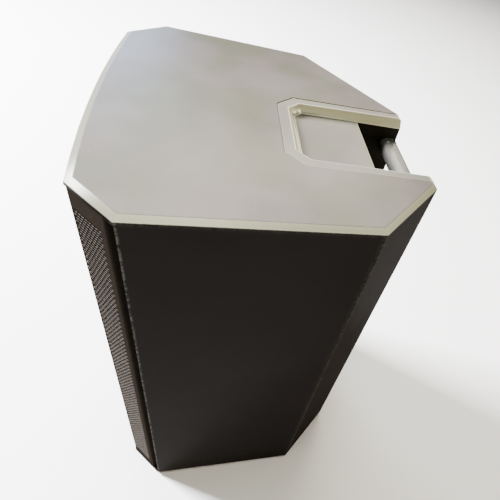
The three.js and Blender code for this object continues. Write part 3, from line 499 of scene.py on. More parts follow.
# ---------------------------------------------------------------- baffle
# A flat moulded board that closes the front of the shell and carries both drivers, the horn
# and the ports. It is ribbed plastic, screwed in from the front and hidden by the grille.


def dress(finish, *nodes):
    """Gives frame nodes their finish."""
    for node in nodes:
        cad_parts[node].material_slots[0].material = finish.material


def plain_plastic(name, base, rough, grain_size=1100.0):
    paint = Finish(name)
    grain = paint.noise(grain_size, 1.0)
    cloud = paint.noise(25.0, 3.0)
    shade = paint.blend(cloud, base, tuple(1.5 * part for part in base))
    return paint.finish(shade, cloud * 0.15 + rough, grain, 0.00003, 0.6)


black_plastic = plain_plastic("black_plastic", (0.014, 0.014, 0.014), 0.42)
dress(black_plastic, "front_baffle")


# ---------------------------------------------------------------- woofer
# A twelve-inch driver: powder-coated pressed basket, half-roll rubber surround, pressed
# paper cone and cap on an enamelled copper coil, cloth spider, ferrite ring between plates.


def powder_coat(name, base, shine=0.5, lit_lips=None):
    """Textured powder paint on steel, with a little dust in its grain. Where a last colour is given,
    it is painted on upward faces, such as the lower edges of the holes: painted light from above,
    varied a little by the dust.
    """
    paint = Finish(name, {"Specular IOR Level": shine})
    peel = paint.noise(700.0, 2.0)
    cloud = paint.noise(12.0, 3.0)
    dust = paint.noise(240.0, 4.0).ease(0.58, 0.75)
    shade = paint.blend(cloud, base, tuple(1.3 * part for part in base))
    shade = paint.blend(dust * 0.3, shade, tuple(2.6 * part for part in base))
    if lit_lips:
        # Painted light: upward faces take the paler colour, as lit from above.
        shade = paint.blend(paint.facing().ease(0.2, 0.8) * (dust * 0.3 + 0.7), shade, lit_lips)
    return paint.finish(shade, peel * 0.2 + 0.40, peel, 0.00006, 0.6)


def zinc(name, base, rough):
    """Plated steel, faintly brushed, with duller clouds."""
    paint = Finish(name, {"Metallic": 1.0})
    brush = paint.noise(900.0, 2.0, paint.place(stretch=(0.06, 1, 1)))
    cloud = paint.noise(60.0, 3.0)
    shade = paint.blend(cloud, base, tuple(0.7 * part for part in base))
    return paint.finish(shade, brush * 0.18 + cloud * 0.12 + rough, brush, 0.00002, 0.4)


def fibre(name, dark, pale, rough, stretch=(1, 1, 1), size=500.0):
    """Pressed or laid fibres: a mottled, matt surface with a felted relief."""
    paint = Finish(name, {"Specular IOR Level": 0.2})
    strand = paint.noise(size, 5.0, paint.place(stretch=stretch))
    clump = paint.noise(size / 12, 3.0)
    shade = paint.blend(strand * 0.7 + clump * 0.3, dark, pale)
    return paint.finish(shade, strand * 0.1 + rough, strand + clump, 0.0002, 0.8)


driver_paint = powder_coat("driver_paint", (0.030, 0.029, 0.028))
plated_steel = zinc("plated_steel", (0.62, 0.62, 0.61), 0.22)
cone_paper = fibre("cone_paper", (0.022, 0.021, 0.020), (0.055, 0.052, 0.048), 0.82)
spider_cloth = fibre("spider_cloth", (0.42, 0.29, 0.13), (0.62, 0.47, 0.26), 0.85, (1, 4, 1))
rubber = plain_plastic("rubber", (0.018, 0.018, 0.018), 0.68, 700.0)
ferrite = Finish("ferrite")
ferrite_grit = ferrite.noise(800.0, 4.0)
ferrite.finish(
    ferrite.blend(ferrite_grit, (0.025, 0.025, 0.028), (0.075, 0.075, 0.082)),
    ferrite_grit * 0.2 + 0.55, ferrite_grit, 0.0002, 0.7,
)
copper_wire = Finish("copper_wire", {"Metallic": 0.9})
turns = (copper_wire.axis("Y") * 12000.0).wave()
copper_wire.finish(
    copper_wire.blend(turns.ease(-1, 1), (0.30, 0.10, 0.035), (0.78, 0.36, 0.16)),
    turns * 0.05 + 0.32, turns, 0.0001, 0.7,
)
dress(driver_paint, "woofer_basket")
dress(rubber, "woofer_surround")
dress(cone_paper, "woofer_cone", "woofer_dust_cap")
dress(copper_wire, "voice_coil")
dress(spider_cloth, "woofer_spider")
dress(plated_steel, "woofer_front_plate", "woofer_back_plate")
dress(ferrite, "woofer_magnet")


# ---------------------------------------------------------------- horn, tweeter and ports
# A rectangular waveguide moulded in black plastic with a compression driver bolted to its
# throat under a round cover, and two tuned port tubes at the foot of the baffle.

dress(black_plastic, "horn", "driver_cover", "port_tube_left", "port_tube_right")
dress(ferrite, "compression_driver")


# ---------------------------------------------------------------- grille
# One sheet of perforated steel, bent once at each front corner and folded in at its ends,
# powder coated black-brown. The holes are staggered and stop short of a plain border.

OUTLINE_FRONT = Vector((0.157, -0.1725))  # where curved front and corner face meet
OUTLINE_SIDE = Vector((0.200, -0.131))  # where corner face and side wall meet
FRONT_BULGE = 0.008
SHEET_INSET = 0.001
SHEET_STEEL = 0.0005
SHADOW_STRIP = 0.012
BEND_RADIUS = 0.0025
FOLD_RADIUS = 0.002
FOLD_DEPTH = 0.007
HOLE_PITCH = 0.0044
HOLE_BRIDGE = 0.00036  # how far each cell is drawn in to make its hole
HOLE_WIDEN = 1.12  # each hole is then drawn out sideways
BORDER = 0.0205  # plain steel at the top and the bottom
SIDE_BORDER = 0.0060
HOLE_HALF = 0.00145  # half the height of a hole, whose points are cut off level

arc_radius = (OUTLINE_FRONT.x ** 2 + FRONT_BULGE ** 2) / (2 * FRONT_BULGE)
arc_turn = math.asin(OUTLINE_FRONT.x / arc_radius)
corner_face = OUTLINE_SIDE - OUTLINE_FRONT
bend_turn = math.atan2(corner_face.y, corner_face.x) - arc_turn
mitre = math.tan(bend_turn / 2)
front_length = (arc_radius - SHEET_INSET) * arc_turn - (SHEET_INSET + BEND_RADIUS) * mitre
bend_length = BEND_RADIUS * bend_turn
side_length = corner_face.length - SHADOW_STRIP - (SHEET_INSET + BEND_RADIUS) * mitre - FOLD_RADIUS
# The sheet's outer line from the middle of the front to its right end: (length, curvature).
sheet_run = [
    (front_length, 1 / (arc_radius - SHEET_INSET)),
    (bend_length, 1 / BEND_RADIUS),
    (side_length, 0),
    (FOLD_RADIUS * math.pi / 2, 1 / FOLD_RADIUS),
    (FOLD_DEPTH - FOLD_RADIUS, 0),
]
sheet_half = sum(step for step, _ in sheet_run)
sheet_low, sheet_high = (corner.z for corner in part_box("grille"))


def on_sheet(along, depth):
    """The plan position of a point of the flat sheet: along its length, and into it."""
    x, y, heading = 0.0, OUTLINE_FRONT.y - FRONT_BULGE + SHEET_INSET, 0.0
    left = abs(along)
    for step, curvature in sheet_run:
        part = min(left, step)
        if curvature:
            turned_to = heading + part * curvature
            x += (math.sin(turned_to) - math.sin(heading)) / curvature
            y -= (math.cos(turned_to) - math.cos(heading)) / curvature
            heading = turned_to
        else:
            x += part * math.cos(heading)
            y += part * math.sin(heading)
        left -= part
        if left <= 0:
            break
    x -= depth * math.sin(heading)
    y += depth * math.cos(heading)
    return (x if along >= 0 else -x), y


def wrap(mesh):
    """Bends a flat sheet, drawn in x and z with its thickness along y, to the plan line."""
    for vertex in mesh.verts:
        vertex.co.x, vertex.co.y = on_sheet(vertex.co.x, vertex.co.y)


def cut_sheet(mesh, place, normal, clear=False):
    geometry = mesh.verts[:] + mesh.edges[:] + mesh.faces[:]
    bmesh.ops.bisect_plane(
        mesh, geom=geometry, dist=1e-6, plane_co=place, plane_no=normal, clear_outer=clear,
    )


def repeat(mesh, faces, shift):
    copy = bmesh.ops.duplicate(mesh, geom=faces)["geom"]
    corners = [item for item in copy if isinstance(item, bmesh.types.BMVert)]
    bmesh.ops.translate(mesh, vec=shift, verts=corners)


def honeycomb(mesh, first, last):
    """Six-sided cells that tile the sheet, between two columns counted from its middle."""
    radius = HOLE_PITCH / math.sqrt(3)
    rise = 1.5 * radius
    rows = math.ceil((sheet_high - sheet_low) / rise) + 2
    bmesh.ops.create_circle(
        mesh, cap_ends=True, segments=6, radius=radius,
        matrix=Matrix.Translation((first * HOLE_PITCH, 0, sheet_low))
        @ Matrix.Rotation(math.pi / 2, 4, "X"),
    )
    cell = mesh.faces[:]
    for column in range(1, last - first):
        repeat(mesh, cell, (column * HOLE_PITCH, 0, 0))
    row_faces = mesh.faces[:]
    for row in range(1, rows):
        repeat(mesh, row_faces, (-HOLE_PITCH / 2 if row % 2 else 0, 0, row * rise))
    bmesh.ops.remove_doubles(mesh, verts=mesh.verts, dist=1e-5)


bends = [front_length, front_length + bend_length / 2, front_length + bend_length]
fold_start = bends[-1] + side_length
folds = [fold_start + FOLD_RADIUS * math.pi / 2 * part for part in (0, 0.33, 0.67, 1)]
hole_limit = fold_start + FOLD_RADIUS - SIDE_BORDER
creases = [side * place for side in (-1, 1) for place in bends + folds]


def is_hole(face):
    middle = face.calc_center_median()
    reach = HOLE_PITCH * 0.55
    clear = all(abs(middle.x - crease) > reach for crease in creases)
    inside = sheet_low + BORDER < middle.z < sheet_high - BORDER
    whole = len(face.verts) == 6
    return clear and inside and whole and abs(middle.x) < hole_limit - reach


def grille_strip(name, first, last):
    """One upright strip of whole cells, perforated, cut to size, thickened and bent."""
    mesh = bmesh.new()
    honeycomb(mesh, first, last)
    for x, z, outwards in (
        (-sheet_half, 0, (-1, 0, 0)), (sheet_half, 0, (1, 0, 0)),
        (0, sheet_low, (0, 0, -1)), (0, sheet_high, (0, 0, 1)),
    ):
        cut_sheet(mesh, (x, 0, z), outwards, True)
    for crease in creases:
        if (first - 1) * HOLE_PITCH < crease < (last + 1) * HOLE_PITCH:
            cut_sheet(mesh, (crease, 0, 0), (1, 0, 0))
    bmesh.ops.remove_doubles(mesh, verts=mesh.verts, dist=2e-5)
    holes = [face for face in mesh.faces if is_hole(face)]
    bmesh.ops.inset_individual(mesh, faces=holes, thickness=HOLE_BRIDGE, use_even_offset=True)
    for face in holes:
        middle = face.calc_center_median()
        for vertex in face.verts:
            away = vertex.co - middle
            vertex.co.x = middle.x + away.x * HOLE_WIDEN
            vertex.co.z = middle.z + max(-HOLE_HALF, min(HOLE_HALF, away.z))
    bmesh.ops.delete(mesh, geom=holes, context="FACES")
    bmesh.ops.solidify(mesh, geom=mesh.faces[:], thickness=SHEET_STEEL)
    wrap(mesh)
    bmesh.ops.recalc_face_normals(mesh, faces=mesh.faces)
    return show(mesh, name, "cabinet", grille_paint, ["grille"], sharp=50)


# Its last colour is painted on the upward edges of the holes, as lit from above.
grille_paint = powder_coat("grille_paint", (0.0125, 0.0102, 0.0078), 0.0, (0.115, 0.101, 0.092))
STRIPS = 5
reach = math.ceil(sheet_half / HOLE_PITCH) + 2
for index in range(STRIPS):
    starts = [round(2 * reach * place / STRIPS) - reach for place in (index, index + 1)]
    grille_strip(f"grille_strip_{index + 1}", *starts)


# ---------------------------------------------------------------- grille foam
# A sheet of open-cell foam, four millimetres thick, glued behind the steel so that the
# drivers can't be seen through the holes. It is black and swallows the light.

FOAM_THICK = 0.004
FOAM_DEPTH = SHEET_STEEL + 0.0003
foam_half = fold_start - 0.004
foam_sheet = bmesh.new()
bmesh.ops.create_grid(
    foam_sheet, x_segments=90, y_segments=120, size=1,
    matrix=Matrix.Translation((0, FOAM_DEPTH, (sheet_low + sheet_high) / 2))
    @ Matrix.Rotation(math.pi / 2, 4, "X")
    @ Matrix.Diagonal((foam_half, (sheet_high - sheet_low) / 2, 1, 1)),
)
bmesh.ops.solidify(foam_sheet, geom=foam_sheet.faces[:], thickness=FOAM_THICK)
wrap(foam_sheet)
bmesh.ops.recalc_face_normals(foam_sheet, faces=foam_sheet.faces)
open_foam = Finish("open_foam", {"Specular IOR Level": 0.1})
pores = open_foam.cells(900.0)
open_foam.finish(
    open_foam.blend(pores.ease(0.1, 0.6), (0.003, 0.003, 0.003), (0.012, 0.012, 0.012)),
    pores * 0.05 + 0.93, 1 - pores, 0.0004, 1.0,
)
foam_piece = show(foam_sheet, "acoustic_foam", "cabinet", open_foam, ["grille_foam"])


# ---------------------------------------------------------------- wadding
# A batt of bonded polyester fibre, glued to the left wall by its back to damp the air in the
# box. Its open face has settled into soft hills, and its edges are pinched where it was cut.

WADDING_LOFT = 0.0036
HILLS = 42.0
pad_low, pad_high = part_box("damping_pad")


def brick(mesh, low, high, edge=0.0, segments=2):
    """A block between two corners, its edges rounded."""
    low, high = Vector(low), Vector(high)
    place = Matrix.Translation((low + high) / 2) @ Matrix.Diagonal((*(high - low), 1))
    made = bmesh.ops.create_cube(mesh, size=1, matrix=place)
    if edge:
        edges = {item for vertex in made["verts"] for item in vertex.link_edges}
        bmesh.ops.bevel(
            mesh, geom=list(edges), offset=edge, offset_type="OFFSET", segments=segments,
            profile=0.5, affect="EDGES", material=-1,
        )


batt = bmesh.new()
brick(batt, pad_low, pad_high, 0.0045, 3)
bmesh.ops.subdivide_edges(batt, edges=batt.edges[:], cuts=11, use_grid_fill=True)
batt.normal_update()
for vertex in batt.verts:
    hill = 0.5 + 0.5 * noise.noise(vertex.co * HILLS) + 0.15 * noise.noise(vertex.co * 5 * HILLS)
    open_face = (vertex.co.x - pad_low.x) / (pad_high.x - pad_low.x)
    vertex.co -= vertex.normal * WADDING_LOFT * max(hill, 0) * open_face
wool = fibre("wool", (0.42, 0.42, 0.40), (0.72, 0.72, 0.70), 0.92, (1, 2, 1), 420.0)
batt_piece = show(batt, "polyester_batt", "cabinet", wool, ["damping_pad"], sharp=80)


# ---------------------------------------------------------------- amplifier panel
# A drawn steel plate, dished to protect the controls, powder coated in fine black texture,
# with the control legends silk-screened on its floor as plain ticks and rules.

PANEL_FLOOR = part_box("socket_latch_1")[0].y + 0.0012
PRINT_THICK = 0.00005
TICKS = 11
TICK_SWEEP = 150
TICK_INNER = 0.0104
TICK_LONG = 0.0020
RULE = 0.0004
FRAME_FOOT = 0.3615  # the height of the rule over each socket
FRAME_CORNER = 0.0035
RULED_ACROSS = (-0.030, 0.090)
RULED_AT = (0.4240, 0.3080)  # the heights of two long rules
DASH = (0.0060, 0.0100)  # beside each button, out from its middle


def eased(node, name, body, finish, slot, *rounding):
    """A frame node with its edges rounded, shown as a piece."""
    mesh = bench(node)
    soften(mesh, *rounding)
    show(mesh, name, body, finish, [node])


panel_paint = powder_coat("panel_paint", (0.024, 0.024, 0.025))
eased("amp_panel", "amplifier_panel", "cabinet", panel_paint, "painted_steel", 0.0006, 2, 30, 0.004)


def middle_of(node):
    low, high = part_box(node)
    return (low + high) / 2


def ruled(mesh, left, right, bottom, top):
    """A printed stroke on the panel's floor."""
    brick(mesh, (left, PANEL_FLOOR, bottom), (right, PANEL_FLOOR + PRINT_THICK, top))


legends = bmesh.new()
for dial in ("gain_knob_1", "gain_knob_2"):
    hub = middle_of(dial)
    for tick in range(TICKS):
        turned_by = math.radians(TICK_SWEEP * (2 * tick / (TICKS - 1) - 1))
        ended = tick in (0, TICKS // 2, TICKS - 1)
        long = TICK_LONG * (1.4 if ended else 1)
        place = (
            Matrix.Translation((hub.x, PANEL_FLOOR + PRINT_THICK / 2, hub.z))
            @ Matrix.Rotation(turned_by, 4, "Y")
            @ Matrix.Translation((0, 0, TICK_INNER + long / 2))
            @ Matrix.Diagonal((RULE * (1.6 if ended else 1), PRINT_THICK, long, 1))
        )
        bmesh.ops.create_cube(legends, size=1, matrix=place)
# A rule with its ends turned up lies over each socket.
for column in ("input_socket_1", "input_socket_2", "link_socket"):
    socket_low, socket_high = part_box(column)
    ruled(legends, socket_low.x, socket_high.x, FRAME_FOOT, FRAME_FOOT + RULE)
    for side in (socket_low.x, socket_high.x - RULE):
        ruled(legends, side, side + RULE, FRAME_FOOT, FRAME_FOOT + FRAME_CORNER)
for level in RULED_AT:
    ruled(legends, *RULED_ACROSS, level, level + RULE)
for column in ("mode_button_1", "mode_button_2"):
    button = middle_of(column)
    for left, right in (DASH, (-DASH[1], -DASH[0])):
        ruled(legends, button.x + left, button.x + right, button.z - RULE / 2, button.z + RULE / 2)
ink = Finish("ink")
ink_wear = ink.noise(1800.0, 3.0)
ink.finish(
    ink.blend(ink_wear.ease(0.55, 0.75), (0.62, 0.62, 0.60), (0.30, 0.30, 0.29)),
    ink_wear * 0.2 + 0.5, ink_wear, 0.00001, 0.5,
)
show(legends, "panel_legends", "cabinet", ink)


# ---------------------------------------------------------------- screws
# Zinc-plated steel screws with thin round heads and a six-lobed recess. Four hold the panel's
# flange to the cabinet, and pairs of small ones hold each socket to the panel.

FACE_OUT = Matrix.Rotation(-math.pi / 2, 4, "X")  # turns a profile's height to face +Y


def turned(mesh, profile, place, steps=32, turn=None, shape=None):
    """Spins a (radius, height) profile about its axis. shape(radius, height, angle) gives each
    point's share of its radius, for flutes and lobes."""
    corners = [mesh.verts.new((radius, 0, height)) for radius, height in profile]
    lines = [mesh.edges.new(pair) for pair in zip(corners, corners[1:])]
    old = set(mesh.verts) - set(corners)
    bmesh.ops.spin(
        mesh, geom=corners + lines, cent=(0, 0, 0), axis=(0, 0, 1), dvec=(0, 0, 0),
        angle=math.tau, steps=steps, use_merge=True, use_duplicate=False,
    )
    fresh = [vertex for vertex in mesh.verts if vertex not in old]
    bmesh.ops.remove_doubles(mesh, verts=fresh, dist=1e-6)
    fresh = [vertex for vertex in mesh.verts if vertex not in old]
    if shape:
        for vertex in fresh:
            radius = vertex.co.xy.length
            share = shape(radius, vertex.co.z, math.atan2(vertex.co.y, vertex.co.x))
            vertex.co.xy *= share
    faces = {face for vertex in fresh for face in vertex.link_faces}
    bmesh.ops.recalc_face_normals(mesh, faces=list(faces))
    bmesh.ops.transform(
        mesh, matrix=Matrix.Translation(place) @ (turn or Matrix()), space=Matrix(), verts=fresh,
    )


def screw(mesh, place, head, shank, length, rise):
    """A screw whose head lies on a face at a place and looks along +Y."""

    def lobes(radius, height, angle):
        inside = radius < 0.56 * head and height > -0.3 * length
        return 1 + 0.16 * math.cos(6 * angle) if inside else 1

    turned(mesh, [
        (0, -length), (shank * 0.6, -length + shank * 0.4), (shank, -length + shank),
        (shank, 0), (head, 0), (head, rise * 0.45), (head * 0.86, rise * 0.85),
        (head * 0.6, rise), (head * 0.46, rise), (head * 0.40, -rise), (0, -1.2 * rise),
    ], place, 24, FACE_OUT, lobes)


for number in range(1, 5):
    screw_low, screw_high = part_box(f"panel_screw_{number}")
    head = (screw_high.x - screw_low.x) / 2
    rise = 0.0004
    shaft = bmesh.new()
    seat = middle_of(f"panel_screw_{number}")
    seat.y = screw_high.y - rise
    screw(shaft, seat, head, 0.0019, seat.y - screw_low.y, rise)
    show(shaft, f"flange_screw_{number}", "cabinet", plated_steel,
         [f"panel_screw_{number}"])


# ---------------------------------------------------------------- heat sink
# An aluminium extrusion, sawn to length and anodised black, whose upright fins stand through
# the panel. The saw left its ends bright.

sink_low, sink_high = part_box("heat_sink")
anodised = Finish("anodised", {"Metallic": 0.85})
drawn = anodised.noise(1600.0, 2.0, anodised.place(stretch=(1, 1, 0.03)))
from_middle = (anodised.axis("Z") - (sink_low.z + sink_high.z) / 2).size()
sink_half = (sink_high.z - sink_low.z) / 2
sawn = from_middle.ease(sink_half - 0.0006, sink_half - 0.0001)
anodised_shade = anodised.blend(drawn, (0.020, 0.020, 0.022), (0.046, 0.046, 0.050))
anodised.finish(
    anodised.blend(sawn, anodised_shade, (0.30, 0.30, 0.30)), drawn * 0.15 + 0.30,
    drawn, 0.00003, 0.5,
)
eased("heat_sink", "finned_heat_sink", "cabinet", anodised, "aluminium", 0.0004, 2, 30, 0.0025)


# ---------------------------------------------------------------- amplifier board
# Glass-fibre circuit board in green resist, with its capacitor, relay, transformer, filter
# and heat spreader soldered to the side that faces the panel.

BOARD_THICK = 0.002
SPREADER_TOP = 0.180
board_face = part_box("amp_board")[0].y + BOARD_THICK
circuit = Finish("circuit")
off_board = circuit.axis("Y").ease(board_face, board_face + 0.0002)
tracks = circuit.node(
    "TexBrick", {"offset": 0.5}, {
        "Vector": circuit.place(turn=(90, 0, 0)), "Scale": 90.0, "Mortar Size": 0.03,
        "Color1": (0.010, 0.085, 0.030, 1), "Color2": (0.012, 0.110, 0.040, 1),
        "Mortar": (0.045, 0.200, 0.070, 1),
    },
)
spreader = circuit.axis("Z").ease(SPREADER_TOP, SPREADER_TOP - 0.0005)
housings = circuit.blend(circuit.noise(30.0), (0.012, 0.012, 0.014), (0.050, 0.048, 0.040))
housings = circuit.blend(spreader, housings, (0.50, 0.50, 0.49))
circuit_grain = circuit.noise(800.0)
circuit.finish(
    circuit.blend(off_board, tracks, housings), circuit_grain * 0.2 + 0.28,
    circuit_grain, 0.00003, 0.5,
)
dress(circuit, "amp_board")


# ---------------------------------------------------------------- mains transformer
# A toroidal transformer: a strip-wound ring core under enamelled wire and two layers of
# polyester tape, whose turns show through as ridges.

CORE_IN = 0.010
CORE_ROUND = 0.0075
WIRES = 72
core_low, core_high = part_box("transformer")
core_middle = (core_low + core_high) / 2
core_out = (core_high.x - core_low.x) / 2
core_tall = core_high.y - core_low.y

ring = []
for centre, sweep in (
    ((core_out - CORE_ROUND, CORE_ROUND), (-90, 0)),
    ((core_out - CORE_ROUND, core_tall - CORE_ROUND), (0, 90)),
    ((CORE_IN + CORE_ROUND, core_tall - CORE_ROUND), (90, 180)),
    ((CORE_IN + CORE_ROUND, CORE_ROUND), (180, 270)),
):
    for part in range(7):
        angle = math.radians(sweep[0] + (sweep[1] - sweep[0]) * part / 6)
        ring.append((
            centre[0] + CORE_ROUND * math.cos(angle), centre[1] + CORE_ROUND * math.sin(angle),
        ))
ring.append(ring[0])
toroid = bmesh.new()
turned(
    toroid, ring, (core_middle.x, core_low.y, core_middle.z), 4 * WIRES, FACE_OUT,
    lambda radius, height, angle: 1 - 0.006 * (0.5 + 0.5 * math.cos(WIRES * angle)),
)
tape = fibre("tape", (0.46, 0.30, 0.04), (0.62, 0.43, 0.08), 0.34, (1, 6, 1), 200.0)
show(toroid, "toroidal_transformer", "cabinet", tape, ["transformer"], sharp=60)


# ---------------------------------------------------------------- signal sockets
# Glass-filled nylon panel sockets. The two inputs take a round three-pin plug or a jack, and
# their well holds three sleeves about a jack bore. The link output has three silvered pins.

WELL_FLOOR = PANEL_FLOOR - 0.011
PIN_CIRCLE = 0.0063
FIXING_ACROSS = 0.0118
FIXING_UP = 0.0152
FLANGE_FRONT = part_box("link_socket")[1].y
silver = zinc("silver", (0.74, 0.73, 0.70), 0.18)
nylon = plain_plastic("nylon", (0.016, 0.016, 0.017), 0.36, 1500.0)


def around(hub, radius, turns):
    """Places on the well's floor at a radius from a hub, at angles from its bottom."""
    for angle in turns:
        yaw = math.radians(angle)
        yield (hub.x + radius * math.sin(yaw), WELL_FLOOR, hub.z - radius * math.cos(yaw))


def sleeve(mesh, place, inner, outer, tall):
    lip = (outer - inner) * 0.35
    turned(mesh, [
        (inner, 0), (outer, 0), (outer, tall - lip), (outer - lip, tall), (inner + lip, tall),
        (inner, tall - lip), (inner, 0),
    ], place, 24, FACE_OUT)


for name in ("input_socket_1", "input_socket_2", "link_socket"):
    hub = middle_of(name)
    eased(name, f"{name}_moulding", "cabinet", nylon, "black_plastic", 0.0006, 2, 35, 0.0030)
    contacts = bmesh.new()
    core = bmesh.new()
    if name == "link_socket":
        for place in around(hub, PIN_CIRCLE, (-120, 0, 120)):
            turned(contacts, [
                (0, 0), (0.00118, 0), (0.00118, 0.0070), (0.0010, 0.0078), (0.0006, 0.0083),
                (0, 0.0085),
            ], place, 20, FACE_OUT)
        sleeve(core, (hub.x, WELL_FLOOR, hub.z), 0.0108, 0.0114, 0.0092)
    else:
        for place in around(hub, PIN_CIRCLE + 0.0012, (-60, 60, 180)):
            sleeve(contacts, place, 0.0011, 0.0017, 0.0087)
        sleeve(core, (hub.x, WELL_FLOOR, hub.z), 0.0034, 0.0049, 0.0096)
        sleeve(contacts, (hub.x, WELL_FLOOR, hub.z), 0.0030, 0.0033, 0.0080)
    show(contacts, f"{name}_contacts", "cabinet", silver)
    show(core, f"{name}_core", "cabinet", nylon)
    fixings = bmesh.new()
    for side in (-1, 1):
        screw(
            fixings, (hub.x + side * FIXING_ACROSS, FLANGE_FRONT, hub.z - side * FIXING_UP),
            0.0021, 0.0012, 0.0060, 0.0006,
        )
    show(fixings, f"{name}_screws", "cabinet", plated_steel)


# ---------------------------------------------------------------- socket latches
# A sprung steel tab above each input, stamped and plated, which is pressed back to let the
# plug go.

for number in (1, 2):
    eased(f"socket_latch_{number}", f"release_tab_{number}", f"latch_{number}", plated_steel,
          "bare_steel", 0.0007, 3, 30, 0.001)


# ---------------------------------------------------------------- mains inlet
# A recessed appliance inlet in black thermoplastic, with three nickelled blades, the middle
# one set higher, and a screw in each ear.

INLET_FLOOR = PANEL_FLOOR - 0.015
EAR = 0.0200  # from the inlet's middle to each screw
inlet_hub = middle_of("mains_inlet")
eased("mains_inlet", "inlet_moulding", "cabinet", nylon, "black_plastic", 0.0008, 3, 35, 0.0030)
blades = bmesh.new()
for across, up in ((-0.007, -0.0018), (0, 0.0022), (0.007, -0.0018)):
    root = Vector((inlet_hub.x + across, INLET_FLOOR, inlet_hub.z + up))
    brick(blades, root - Vector((0.001, 0, 0.002)), root + Vector((0.001, 0.0125, 0.002)), 0.0005)
show(blades, "inlet_blades", "cabinet", silver)
inlet_fixings = bmesh.new()
for side in (-1, 1):
    place = (inlet_hub.x + side * EAR, FLANGE_FRONT, inlet_hub.z)
    screw(inlet_fixings, place, 0.0028, 0.0015, 0.0070, 0.0008)
show(inlet_fixings, "inlet_screws", "cabinet", plated_steel)


# ---------------------------------------------------------------- power switch
# A snap-in frame and a glossy rocker that tips about a pin behind it, with the line and ring
# for on and off moulded into its two halves and filled with white.

ROCKER_SLOPE = math.atan2(2.0, 9.5)
MARK_UP = 0.0050  # from the pin to each mark
eased("power_switch_frame", "switch_frame", "cabinet", nylon, "black_plastic",
      0.0006, 2, 35, 0.0030)
gloss_black = plain_plastic("gloss_black", (0.010, 0.010, 0.011), 0.14, 2000.0)
eased("power_rocker", "rocker_key", "rocker", gloss_black, "black_plastic", 0.0007, 3, 20, 0.002)
marks = bmesh.new()
pin = middle_of("power_rocker")
pin.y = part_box("power_rocker")[1].y - 0.001
upper, lower = (
    Matrix.Translation(pin + Vector((0, 0, side * MARK_UP)))
    @ Matrix.Rotation(-side * ROCKER_SLOPE, 4, "X") for side in (1, -1)
)
bmesh.ops.create_cube(marks, size=1, matrix=upper @ Matrix.Diagonal((0.0006, 0.0003, 0.0046, 1)))
turned(marks, [
    (0.0017, -0.00015), (0.0023, -0.00015), (0.0023, 0.00015), (0.0017, 0.00015),
    (0.0017, -0.00015),
], (0, 0, 0), 32, lower @ FACE_OUT)
show(marks, "rocker_marks", "rocker", ink)


# ---------------------------------------------------------------- gain dials
# Sealed potentiometers with a steel bush and shaft, each under a soft fluted knob with a
# white pointer let into its cap.

KNOB_BORE = 0.0033
soft_touch = plain_plastic("soft_touch", (0.018, 0.018, 0.019), 0.56, 1800.0)
pointer_white = plain_plastic("pointer_white", (0.52, 0.52, 0.50), 0.40, 1500.0)


def knob(node, name, body, finish, flutes, depth, sharp):
    """A knob with a flared foot, a fluted waist and a dished cap, in a frame node's place."""
    low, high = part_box(node)
    middle = (low + high) / 2
    out = (high.x - low.x) / 2
    tall = high.y - low.y - 0.0004
    waist = out - 0.0009

    def grip_flutes(radius, height, angle):
        gripped = radius > waist * 0.86 and 0.0026 < height < tall - 0.0001
        return 1 - depth * (0.5 + 0.5 * math.cos(flutes * angle)) if gripped else 1

    mesh = bmesh.new()
    turned(mesh, [
        (0, tall * 0.7), (KNOB_BORE, tall * 0.7), (KNOB_BORE, 0), (out - 0.0003, 0),
        (out, 0.0003), (out, 0.0013), (out - 0.0004, 0.0018), (waist, 0.0022),
        (waist, 0.0030), (waist - 0.0001, tall * 0.5), (waist - 0.0003, tall - 0.0012),
        (waist - 0.0006, tall - 0.0005), (waist - 0.0011, tall - 0.0001),
        (waist - 0.0016, tall), (waist - 0.0019, tall), (waist - 0.0022, tall - 0.0004),
        (0, tall - 0.0005),
    ], (middle.x, low.y, middle.z), 6 * flutes, FACE_OUT, grip_flutes)
    show(mesh, name, body, finish, [node], sharp)
    line = bmesh.new()
    brick(
        line, (middle.x - 0.0005, high.y - 0.0012, middle.z + out * 0.26),
        (middle.x + 0.0005, high.y - 0.0002, middle.z + waist - 0.0009), 0.0002,
    )
    show(line, name.replace("knob", "pointer"), body, pointer_white)


for number in (1, 2):
    dress(plated_steel, f"gain_pot_{number}")
    knob(f"gain_knob_{number}", f"gain_fluted_knob_{number}", f"gain_dial_{number}",
         soft_touch, 16, 0.06, 30)


# ---------------------------------------------------------------- encoder
# The menu control: a rotary encoder that also presses in, under a larger knob turned from
# aluminium bar, knurled on its waist and clear anodised.

dress(plated_steel, "encoder_body", "encoder_shaft")
encoder_hub = middle_of("encoder_knob")
turned_alloy = Finish("turned_alloy", {"Metallic": 1.0})
off_x = turned_alloy.axis("X") - encoder_hub.x
off_z = turned_alloy.axis("Z") - encoder_hub.z
from_axis = turned_alloy.node("Math", {"operation": "SQRT"}, {0: off_x * off_x + off_z * off_z})
lathe_lines = (from_axis * 26000.0).wave()
alloy_cloud = turned_alloy.noise(220.0, 3.0)
turned_alloy.finish(
    turned_alloy.blend(alloy_cloud, (0.52, 0.52, 0.53), (0.40, 0.40, 0.41)),
    lathe_lines * 0.05 + alloy_cloud * 0.12 + 0.24, lathe_lines, 0.00001, 0.4,
)
knob("encoder_knob", "encoder_knurled_knob", "encoder_dial", turned_alloy,
     60, 0.025, 20)


# ---------------------------------------------------------------- mode switches
# Two latching push switches behind the panel. Each has a grey square button that stands
# through it.

soft_grey = plain_plastic("soft_grey", (0.16, 0.16, 0.155), 0.45, 1600.0)
for number in (1, 2):
    dress(nylon, f"mode_switch_{number}")
    eased(f"mode_button_{number}", f"mode_key_{number}", f"mode_{number}", soft_grey,
          "grip_grey", 0.0008, 3, 30, 0.002)


